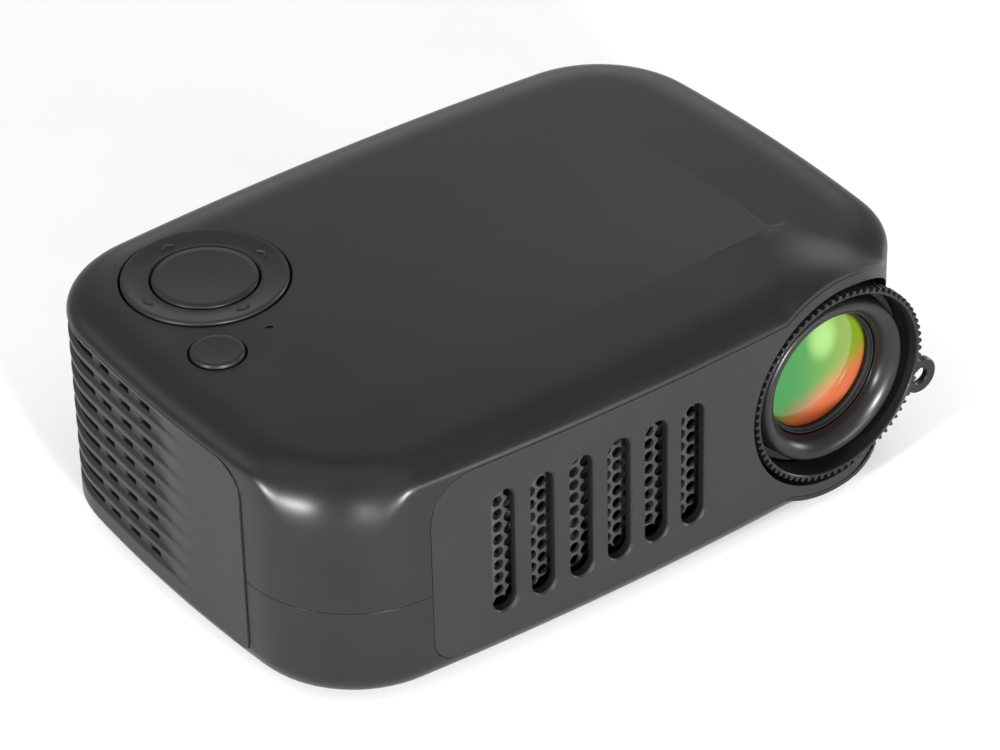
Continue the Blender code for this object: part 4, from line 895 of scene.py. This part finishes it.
def ring_tab():
    """The finger loop: a rounded lug with a hole, joined to the ring by a short neck."""
    points = []
    for step in range(25):
        angle = -pi * 0.62 + pi * 1.24 * step / 24
        points.append((TAB_REACH + TAB_ROUND * cos(angle), TAB_ROUND * sin(angle)))
    points.append((RIM_INNER + 0.3 * MM, TAB_ROUND * 1.12))
    points.append((RIM_INNER + 0.3 * MM, -TAB_ROUND * 1.12))
    edge = 0.22 * MM
    middle = Vector((TAB_REACH - MM, 0))
    rings = []
    for depth, shrink in ((0.0, edge), (edge, 0.0), (TAB_THICKNESS - edge, 0.0), (TAB_THICKNESS, edge)):
        ring = []
        for point in points:
            out = Vector(point) - middle
            out *= 1 - shrink / out.length
            ring.append((middle.x + out.x, depth, middle.y + out.y))
        rings.append(ring)
    tab = lofted("tab", rings)
    hole = TAB_HOLE
    profile = (
        (0, -MM), (hole + MM + edge, -MM), (hole, edge),
        (hole, TAB_THICKNESS - edge), (hole + MM + edge, TAB_THICKNESS + MM), (0, TAB_THICKNESS + MM),
    )
    combine(tab, "DIFFERENCE", [turned("tab_hole", profile, (TAB_REACH, 0, 0), "Y", 40)])
    tab.data.transform(Matrix.Rotation(-TAB_ANGLE, 4, "Y"))
    tab.data.transform(Matrix.Translation((LENS_X, RING_FRONT + TAB_SETBACK, LENS_Z)))
    return tab


def focus_ring(material):
    """The toothed wheel that the finger turns, with a narrower neck behind its teeth."""
    depth = RING_BACK - RING_FRONT
    neck = TOOTH_ROOT - 0.25 * MM
    profile = [
        (RIM_INNER, 0.25 * MM), (RIM_INNER + 0.2 * MM, 0.0),
        (TOOTH_ROOT - 0.2 * MM, 0.0), (TOOTH_ROOT, 0.2 * MM),
        (TOOTH_ROOT, TOOTH_LENGTH + 0.3 * MM), (neck, TOOTH_LENGTH + 0.6 * MM),
        (neck, depth), (RIM_INNER, depth),
    ]
    ring = turned("focus_wheel", fillet(profile, 0.12 * MM, 2), (LENS_X, RING_FRONT, LENS_Z), "Y", 150)
    joined(ring, [ring_teeth(material), ring_tab()])
    return smooth(ring, 30)


def lens_barrel():
    """The bezel: a rounded rim, a funnel down to the throat and a plain bore behind it."""
    outer = BARREL_RADIUS
    depth = BARREL_BACK - BARREL_FRONT
    throat = 2.95 * MM
    rim_width, rim_depth = 0.9 * MM, 1.2 * MM
    crest = outer - rim_width
    profile = [(outer, depth), (outer, rim_depth)]
    for step in range(1, 9):
        angle = pi / 2 * step / 8
        profile.append((outer - rim_width * (1 - cos(angle)), rim_depth * (1 - sin(angle))))
    for step in range(1, 17):
        angle = pi / 2 * step / 16
        radius = crest + (THROAT - crest) * sin(angle) ** 1.1
        profile.append((radius, throat * (1 - cos(angle)) ** 0.9))
    profile.append((THROAT - 0.08 * MM, throat + 0.15 * MM))
    profile.append((THROAT - 0.04 * MM, throat + 0.3 * MM))
    profile.append((THROAT - 0.04 * MM, depth))
    return smooth(turned("lens_bezel", profile, (LENS_X, BARREL_FRONT, LENS_Z), "Y", 160), 40)


def lens_retainer():
    low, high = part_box("lens_retainer")
    outer = (high.x - low.x) / 2
    depth = high.y - low.y
    profile = [
        (outer, depth), (outer, 0.0), (outer - 0.18 * MM, 0.0), (outer - 0.24 * MM, 0.5 * MM),
        (RETAINER_BORE + 0.2 * MM, 0.6 * MM), (RETAINER_BORE, 0.85 * MM), (RETAINER_BORE, depth),
    ]
    return smooth(turned("retaining_ring", profile, (LENS_X, low.y, LENS_Z), "Y", 120))


def front_lens():
    """Domed glass that fills the retainer's bore, on a wider disc behind it."""
    low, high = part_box("front_lens")
    outer = (high.x - low.x) / 2
    disc = outer - 0.05 * MM
    crown = low.y + 0.02 * MM
    sag = 1.4 * MM
    profile = [(0, crown)]
    for step in range(1, 25):
        radius = GLASS_REACH * step / 24
        profile.append((radius, crown + sag * (radius / outer) ** 2))
    profile += [(disc, low.y + sag), (disc, high.y), (0, high.y)]
    return smooth(turned("front_glass", profile, (LENS_X, 0, LENS_Z), "Y", 128), 50)


# ---- keys


def nav_pad():
    """The four-way pad: a dished ring over a flange, with an arrow on each side."""
    middle = centre_of("nav_ring")
    low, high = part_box("nav_ring")
    top = high.z
    bore = OK_RADIUS + KEY_GAP
    flange = (high.x - low.x) / 2
    under = low.z + KEY_FLANGE
    ledge = under + 0.9 * MM
    chamfer = 0.5 * MM
    land = NAV_RADIUS - 0.75 * MM
    dish_end = bore + 0.45 * MM
    rows = [
        (bore + MM, low.z), (flange, low.z), (flange, under - chamfer), (flange - chamfer, under),
        (NAV_RADIUS, under), (NAV_RADIUS, top - 0.35 * MM),
        (NAV_RADIUS - 0.28 * MM, top), (land, top - 0.05 * MM),
    ]
    for step in range(1, 9):
        share = step / 9
        rows.append((land + (dish_end - land) * share, top - 0.05 * MM - 0.5 * MM * sin(share * pi / 2)))
    rows += [(bore + 0.3 * MM, top - 0.52 * MM), (bore, top - 0.75 * MM), (bore, ledge), (bore + MM, ledge)]
    pad = turned("direction_pad", fillet(rows, 0.12 * MM, 3), (middle.x, middle.y, 0), "Z", 128)
    marks = []
    for quarter in range(4):
        marks.append(chevron(middle, quarter * pi / 2, top - 0.42 * MM, 0.22 * MM))
    joined(pad, marks)
    return smooth(pad, 40)


def chevron(middle, angle, low, height):
    """A small open arrow that points away from the pad's centre."""
    span, depth, thick = 1.15 * MM, 0.85 * MM, 0.42 * MM
    outline = (
        (0, 0.0), (-depth, span), (-depth - thick, span), (-thick * 1.25, 0.0),
        (-depth - thick, -span), (-depth, -span),
    )
    mark = prism("mark", [(CHEVRON_RADIUS + 0.7 * MM + a, b) for a, b in outline], low, low + height, "Z")
    mark.data.transform(Matrix.Translation((middle.x, middle.y, 0)) @ Matrix.Rotation(angle, 4, "Z"))
    return mark


def round_key(name, node, radius, dish):
    """A push button with a shallow dish in its top and a flange that keeps it in the case."""
    middle = centre_of(node)
    low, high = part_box(node)
    top = high.z
    flange = (high.x - low.x) / 2
    under = low.z + KEY_FLANGE
    land = radius - 0.32 * MM
    rows = [(0, low.z), (flange, low.z), (flange, under), (radius, under), (radius, top - 0.3 * MM)]
    rows += [(radius - 0.1 * MM, top - 0.1 * MM), (land, top)]
    for step in range(1, 9):
        share = step / 8
        rows.append((land * (1 - share), top - 0.02 * MM - dish * sin(share * pi / 2)))
    return smooth(turned(name, rows, (middle.x, middle.y, 0), "Z", 96), 40)


def power_mark():
    """The usual standby sign: an open ring and a bar."""
    middle = centre_of("power_button")
    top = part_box("power_button")[1].z - 0.16 * MM
    maker = bmesh.new()
    radius, thick, height = 1.45 * MM, 0.16 * MM, 0.1 * MM
    rows = []
    for step in range(37):
        angle = pi / 2 + radians(38) + radians(284) * step / 36
        section = []
        for side, z in ((-thick, top), (thick, top), (thick, top + height), (-thick, top + height)):
            reach = radius + side
            section.append(maker.verts.new((reach * cos(angle), reach * sin(angle), z)))
        rows.append(section)
    for one, two in zip(rows, rows[1:]):
        bridge(maker, one, two)
    maker.faces.new(rows[0])
    maker.faces.new(rows[-1])
    arc = to_object("power_sign", maker)
    bar = box("bar", (-thick, 0.5 * MM, top), (thick, 1.9 * MM, top + height))
    joined(arc, [bar])
    arc.data.transform(Matrix.Translation((middle.x, middle.y, 0)) @ Matrix.Rotation(radians(-12), 4, "Z"))
    return arc


# ---- materials


class Wire:
    """A shader value that can be written in sums."""

    def __init__(self, shader, socket):
        self.shader = shader
        self.socket = socket

    def _math(self, operation, first, second):
        node = self.shader.node("ShaderNodeMath", {"operation": operation}, {0: first, 1: second})
        return Wire(self.shader, node.outputs[0])

    def __add__(self, other):
        return self._math("ADD", self, other)

    __radd__ = __add__

    def __sub__(self, other):
        return self._math("SUBTRACT", self, other)

    def __rsub__(self, other):
        return self._math("SUBTRACT", other, self)

    def __mul__(self, other):
        return self._math("MULTIPLY", self, other)

    __rmul__ = __mul__

    def __truediv__(self, other):
        return self._math("DIVIDE", self, other)

    def __pow__(self, other):
        return self._math("POWER", self, other)

    def clamped(self):
        node = self.shader.node("ShaderNodeClamp", {}, {0: self})
        return Wire(self.shader, node.outputs[0])

    def between(self, low, high):
        """0 below low, 1 above high, smooth between."""
        settings = {"interpolation_type": "SMOOTHSTEP"}
        node = self.shader.node("ShaderNodeMapRange", settings, {0: self, 1: low, 2: high})
        return Wire(self.shader, node.outputs[0])


class Finish:
    """A material on its Principled shader, with nodes added by short calls."""

    def __init__(self, name, **values):
        self.material = bpy.data.materials.new(name)
        self.material.use_nodes = True
        self.tree = self.material.node_tree
        self.surface = self.tree.nodes["Principled BSDF"]
        self.set(**values)

    def node(self, kind, settings=None, values=None):
        node = self.tree.nodes.new(kind)
        for label, value in (settings or {}).items():
            setattr(node, label, value)
        for key, value in (values or {}).items():
            self.plug(node.inputs[key], value)
        return node

    def plug(self, socket, value):
        if isinstance(value, Wire):
            value = value.socket
        if isinstance(value, bpy.types.NodeSocket):
            self.tree.links.new(value, socket)
        else:
            socket.default_value = value

    def set(self, **values):
        for label, value in values.items():
            self.plug(self.surface.inputs[label.replace("_", " ")], value)

    def place(self):
        return self.node("ShaderNodeTexCoord").outputs["Object"]

    def axis(self, index):
        node = self.node("ShaderNodeSeparateXYZ", {}, {0: self.place()})
        return Wire(self, node.outputs[index])

    def noise(self, scale, detail=3.0, roughness=0.55):
        values = {"Vector": self.place(), "Scale": scale, "Detail": detail, "Roughness": roughness}
        return Wire(self, self.node("ShaderNodeTexNoise", {}, values).outputs[0])

    def mix(self, factor, first, second):
        values = {0: factor, 6: first, 7: second}
        return self.node("ShaderNodeMix", {"data_type": "RGBA"}, values).outputs[2]

    def bevel(self, radius):
        return self.node("ShaderNodeBevel", {"samples": 4}, {"Radius": radius}).outputs[0]

    def edge(self, radius):
        """0 on flat ground, rising towards 1 on a sharp edge."""
        soft = self.bevel(radius)
        true = self.node("ShaderNodeNewGeometry").outputs["Normal"]
        dot = self.node("ShaderNodeVectorMath", {"operation": "DOT_PRODUCT"}, {0: soft, 1: true})
        return 1.0 - Wire(self, dot.outputs["Value"])

    def bump(self, height, strength, distance, normal=None):
        values = {"Height": height, "Strength": strength, "Distance": distance}
        if normal is not None:
            values["Normal"] = normal
        self.set(Normal=self.node("ShaderNodeBump", {}, values).outputs[0])


def colour(red, green, blue):
    return (red, green, blue, 1.0)


def scaled(tone, factor):
    return colour(*(min(1.0, channel * factor) for channel in tone[:3]))


def moulded(name, tone, roughness, depth=0.35, edge_radius=0.16 * MM, wear=2.4):
    """Injection-moulded plastic: spark-eroded grain, faint mottling, and smoother edges painted paler,
    partly as edge wear and partly as a painted edge highlight.
    """
    finish = Finish(name)
    mottle = finish.noise(90.0, 3.0)
    speckle = finish.noise(2600.0, 2.0)
    grains = finish.noise(5200.0, 2.0, 0.6)
    # Edge mask: edges are painted paler, partly as edge wear and partly as a painted highlight along rims
    # and edges.
    edge_wear_and_highlight = (finish.edge(edge_radius) * 2.2).clamped()
    shade = (mottle * 0.6 + speckle * 0.4).between(0.25, 0.75)
    base = finish.mix(shade, scaled(tone, 0.90), scaled(tone, 1.10))
    # Painted edge highlight and edge wear: the edge mask lifts the tone by the gain.
    base = finish.mix(edge_wear_and_highlight, base, scaled(tone, wear))
    finish.set(Base_Color=base, Roughness=roughness + (mottle - 0.5) * 0.10 - edge_wear_and_highlight * 0.10)
    finish.set(Specular_IOR_Level=0.22)
    finish.bump(grains, depth, 0.02 * MM, finish.bevel(edge_radius))
    return finish.material


def coated_glass():
    """Coated lens glass with its reflections painted into the colour: a painted green reflection above, a
    painted amber reflection below, a painted red-brown reflection along the bottom, a painted pale
    highlight and painted shade at the rim.
    """
    finish = Finish("coated_glass", IOR=1.6, Coat_Roughness=0.02, Specular_IOR_Level=0.3)
    across = (finish.axis(0) - LENS_X) / GLASS_RADIUS
    up = (finish.axis(2) - LENS_Z) / GLASS_RADIUS
    ripple = finish.noise(140.0, 2.0) * 0.08
    slope = up - across * 0.36 + ripple
    # Painted reflections of the coating: green above, amber below.
    green = finish.mix(across.between(-0.6, 0.8), colour(0.004, 0.085, 0.010), colour(0.075, 0.125, 0.004))
    painted_amber_reflection = finish.mix(across.between(-0.8, 0.3), colour(0.050, 0.026, 0.003), colour(0.26, 0.062, 0.024))
    base = finish.mix(slope.between(-0.62, 0.04), painted_amber_reflection, green)
    # Painted red-brown reflection along the bottom rim.
    base = finish.mix((0.0 - up).between(0.62, 0.92), base, colour(0.090, 0.014, 0.004))
    # Painted pale highlight at the upper middle.
    painted_highlight_spot = (across - 0.06) * (across - 0.06) * 9.0 + (up - 0.60) * (up - 0.60) * 5.0
    base = finish.mix((1.0 - painted_highlight_spot).between(-0.2, 1.3) * 0.45, base, colour(0.24, 0.40, 0.13))
    rim = (across * across + up * up) ** 0.5
    # Painted shade at the glass's rim.
    base = finish.mix(rim.between(0.91, 0.98) * 0.8, base, colour(0.016, 0.012, 0.004))
    sheen = 0.5 - rim.between(0.9, 1.0) * 0.3
    finish.set(Base_Color=base, Roughness=0.06 + ripple * 0.3, Coat_Weight=sheen)
    return finish.material


def clear_sheet():
    """Faintly hazed clear plastic."""
    finish = Finish("clear_sheet", IOR=1.5)
    haze = finish.noise(300.0)
    base = finish.mix(haze, colour(0.42, 0.46, 0.48), colour(0.60, 0.64, 0.66))
    finish.set(Base_Color=base, Roughness=0.18 + haze * 0.12)
    finish.bump(finish.noise(2400.0), 0.1, 0.01 * MM)
    return finish.material


def metal(name, tone, roughness):
    """Worked metal: drawn streaks, small pits and brighter edges."""
    finish = Finish(name, Metallic=1.0)
    streak = finish.noise(700.0, 4.0)
    pits = finish.noise(4200.0, 2.0)
    edge_wear_and_highlight = (finish.edge(0.12 * MM) * 2.0).clamped()
    base = finish.mix(streak, scaled(tone, 0.82), scaled(tone, 1.08))
    base = finish.mix(edge_wear_and_highlight, base, scaled(tone, 1.3))
    finish.set(Base_Color=base, Roughness=roughness + (pits - 0.5) * 0.16)
    finish.bump(pits, 0.2, 0.012 * MM, finish.bevel(0.08 * MM))
    return finish.material


def rubber():
    """Matte rubber with a little dust."""
    finish = Finish("rubber_finish", Specular_IOR_Level=0.3)
    dust = finish.noise(420.0, 4.0)
    base = finish.mix(dust.between(0.45, 0.8), colour(0.012, 0.012, 0.012), colour(0.035, 0.034, 0.032))
    finish.set(Base_Color=base, Roughness=0.78 + (dust - 0.5) * 0.2)
    finish.bump(finish.noise(3800.0, 2.0), 0.5, 0.02 * MM, finish.bevel(0.2 * MM))
    return finish.material


def board():
    """Solder-masked board with paler copper tracks showing through."""
    finish = Finish("board_finish")
    weave = finish.noise(1600.0, 2.0)
    tracks = finish.noise(240.0, 0.0).between(0.50, 0.53)
    base = finish.mix(tracks, colour(0.008, 0.055, 0.022), colour(0.014, 0.090, 0.036))
    finish.set(Base_Color=base, Roughness=0.38 + weave * 0.12)
    finish.bump(tracks + weave * 0.2, 0.3, 0.02 * MM)
    return finish.material


def lamp_dot():
    """The indicator lamp, unlit."""
    finish = Finish("lamp_dot_finish")
    grain = finish.noise(3000.0)
    base = finish.mix(grain, colour(0.012, 0.012, 0.014), colour(0.03, 0.03, 0.034))
    finish.set(Base_Color=base, Roughness=0.25 + grain * 0.1)
    return finish.material


CASE_TONE = colour(0.0066, 0.0066, 0.0068)
PANEL_TONE = colour(0.0088, 0.0088, 0.0090)
KEY_TONE = colour(0.0085, 0.0085, 0.0087)
WHEEL_TONE = colour(0.006, 0.006, 0.0062)
BEZEL_TONE = colour(0.007, 0.007, 0.0072)

CASE = moulded("case_finish", CASE_TONE, 0.33)
PANEL = moulded("panel_finish", PANEL_TONE, 0.42)
KEYS = moulded("key_finish", KEY_TONE, 0.40, depth=0.25, edge_radius=0.12 * MM)
MARKS = moulded("mark_finish", scaled(KEY_TONE, 1.25), 0.45)
# The wheel's and the bezel's high edge gains paint highlights on the teeth and on the bezel's rims.
WHEEL = moulded("wheel_finish", WHEEL_TONE, 0.32, depth=0.15, edge_radius=0.10 * MM, wear=6.0)
BEZEL = moulded("bezel_finish", BEZEL_TONE, 0.30, depth=0.08, edge_radius=0.12 * MM, wear=9.0)
INNER = moulded("inner_finish", colour(0.006, 0.006, 0.006), 0.55)
PLATE = moulded("plate_finish", colour(0.030, 0.030, 0.031), 0.40, depth=0.2, edge_radius=0.08 * MM)
GLASS = coated_glass()
SHEET = clear_sheet()
ALUMINIUM = metal("aluminium_finish", colour(0.60, 0.61, 0.62), 0.36)
STEEL = metal("steel_finish", colour(0.52, 0.52, 0.53), 0.28)
BRASS = metal("brass_finish", colour(0.72, 0.50, 0.20), 0.28)
RUBBER = rubber()
BOARD = board()
DOT = lamp_dot()

SLOT_FINISH = {
    "case_plastic": CASE,
    "panel_plastic": PANEL,
    "key_plastic": KEYS,
    "dark_plastic": INNER,
    "lens_plastic": WHEEL,
    "mesh_steel": PLATE,
    "clear_glass": SHEET,
    "frosted_plastic": SHEET,
    "cast_aluminium": ALUMINIUM,
    "circuit_board": BOARD,
    "plated_steel": STEEL,
    "rubber": RUBBER,
    "brass": BRASS,
}


# ---- putting it together


def dress(obj, material):
    obj.data.materials.clear()
    obj.data.materials.append(material)
    for face in obj.data.polygons:
        face.material_index = 0
    return obj


def show(obj, material, body, slot, *nodes):
    """Hands a finished piece to the frame: its material, body and the nodes it stands for. The finish slot
    is not used.
    """
    dress(obj, material)
    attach(obj, body)
    if nodes:
        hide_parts(*nodes)
        for node in nodes:
            NODES_LEFT.pop(node, None)
    return obj


show(top_shell(), CASE, "case", "case_plastic", "top_shell")
show(bottom_shell(), CASE, "case", "case_plastic", "bottom_shell")
show(front_panel(), PANEL, "case", "panel_plastic", "front_panel")
show(left_grille(), PANEL, "case", "panel_plastic", "left_grille")
show(right_grille(), PANEL, "case", "panel_plastic", "right_grille")
show(rear_panel(), PANEL, "case", "panel_plastic", "rear_panel")
show(vent_mesh(PLATE), PLATE, "case", "mesh_steel", "vent_mesh")
show(focus_ring(WHEEL), WHEEL, "focus", "lens_plastic", "focus_ring")
show(lens_barrel(), BEZEL, "lens", "lens_plastic", "lens_barrel")
show(lens_retainer(), INNER, "lens", "dark_plastic", "lens_retainer")
show(front_lens(), GLASS, "lens", "clear_glass", "front_lens")
show(nav_pad(), KEYS, "pad", "key_plastic", "nav_ring")
centre_key = round_key("centre_key", "ok_button", OK_RADIUS, 0.25 * MM)
show(centre_key, KEYS, "ok_key", "key_plastic", "ok_button")
power_key = round_key("power_key", "power_button", POWER_RADIUS, 0.12 * MM)
show(power_key, KEYS, "power_key", "key_plastic", "power_button")
show(power_mark(), MARKS, "power_key", "key_plastic")

slot_of = {entry["node"]: entry["material_slot"] for entry in frame["record"]["subparts"]}
for name, obj in NODES_LEFT.items():
    dress(obj, SLOT_FINISH[slot_of[name]])
dress(frame["nodes"]["light_pipe"], DOT)


# ---- floor, light and camera


def studio_floor():
    maker = bmesh.new()
    bmesh.ops.create_grid(maker, x_segments=8, y_segments=8, size=4.0)
    floor_piece = to_object("studio_floor", maker)
    floor_piece.data.transform(Matrix.Translation((0, 0, FLOOR)))
    finish = Finish("floor_finish", Specular_IOR_Level=0.2)
    grain = finish.noise(30.0)
    base = finish.mix(grain, colour(0.86, 0.86, 0.86), colour(0.90, 0.90, 0.90))
    finish.set(Base_Color=base, Roughness=0.7 + grain * 0.1)
    dress(floor_piece, finish.material)


LAMP_TARGET = Vector((0, 0, 0.02))
LAMPS = (
    ("top_box", (-0.2, 0.1, 1.3), (1.2, 1.2), 3.0),
    ("back_box", (0.60, 0.82, 0.38), (0.6, 0.35), 0.95),
    ("back_left_box", (-0.6, 0.8, 0.9), (0.7, 0.5), 2.2),
    ("right_fill", (0.30, -1.02, 0.14), (0.5, 0.24), 5.0),
    ("right_low", (0.98, -0.20, 0.12), (0.35, 0.2), 4.0),
    ("left_spot", (-0.95, -0.20, 0.16), (0.10, 0.10), 16.0),
    ("front_spot", (-0.26, -0.95, 0.16), (0.12, 0.12), 24.0),
)


def area_light(name, place, size, power):
    data = bpy.data.lights.new(name, "AREA")
    data.shape = "RECTANGLE"
    data.size, data.size_y = size
    data.energy = power
    lamp = link(bpy.data.objects.new(name, data))
    lamp.location = place
    lamp.rotation_euler = (LAMP_TARGET - Vector(place)).to_track_quat("-Z", "Y").to_euler()


def studio_light():
    world = bpy.data.worlds.new("studio")
    bpy.context.scene.world = world
    world.use_nodes = True
    surroundings = world.node_tree.nodes["Background"]
    surroundings.inputs["Color"].default_value = colour(1, 1, 1)
    surroundings.inputs["Strength"].default_value = 0.56
    for lamp in LAMPS:
        area_light(*lamp)


CAMERA_AZIMUTH = radians(-126.014)
CAMERA_ELEVATION = radians(35.209)
CAMERA_LEAN = radians(-1.346)


def camera():
    """Looks down at the front left corner through a long lens, leaning a little."""
    data = bpy.data.cameras.new("camera")
    data.lens = 158.8
    data.sensor_width = 36.0
    data.clip_end = 20.0
    made = link(bpy.data.objects.new("camera", data))
    place = Matrix.Translation((-0.34994, -0.48634, 0.44040 + BASE))
    turn = Matrix.Rotation(CAMERA_AZIMUTH + pi / 2, 4, "Z")
    tip = Matrix.Rotation(pi / 2 - CAMERA_ELEVATION, 4, "X")
    lean = Matrix.Rotation(CAMERA_LEAN, 4, "Z")
    made.matrix_world = place @ turn @ tip @ lean
    bpy.context.scene.camera = made


studio_floor()
studio_light()
camera()
bpy.context.scene.view_settings.view_transform = "Standard"
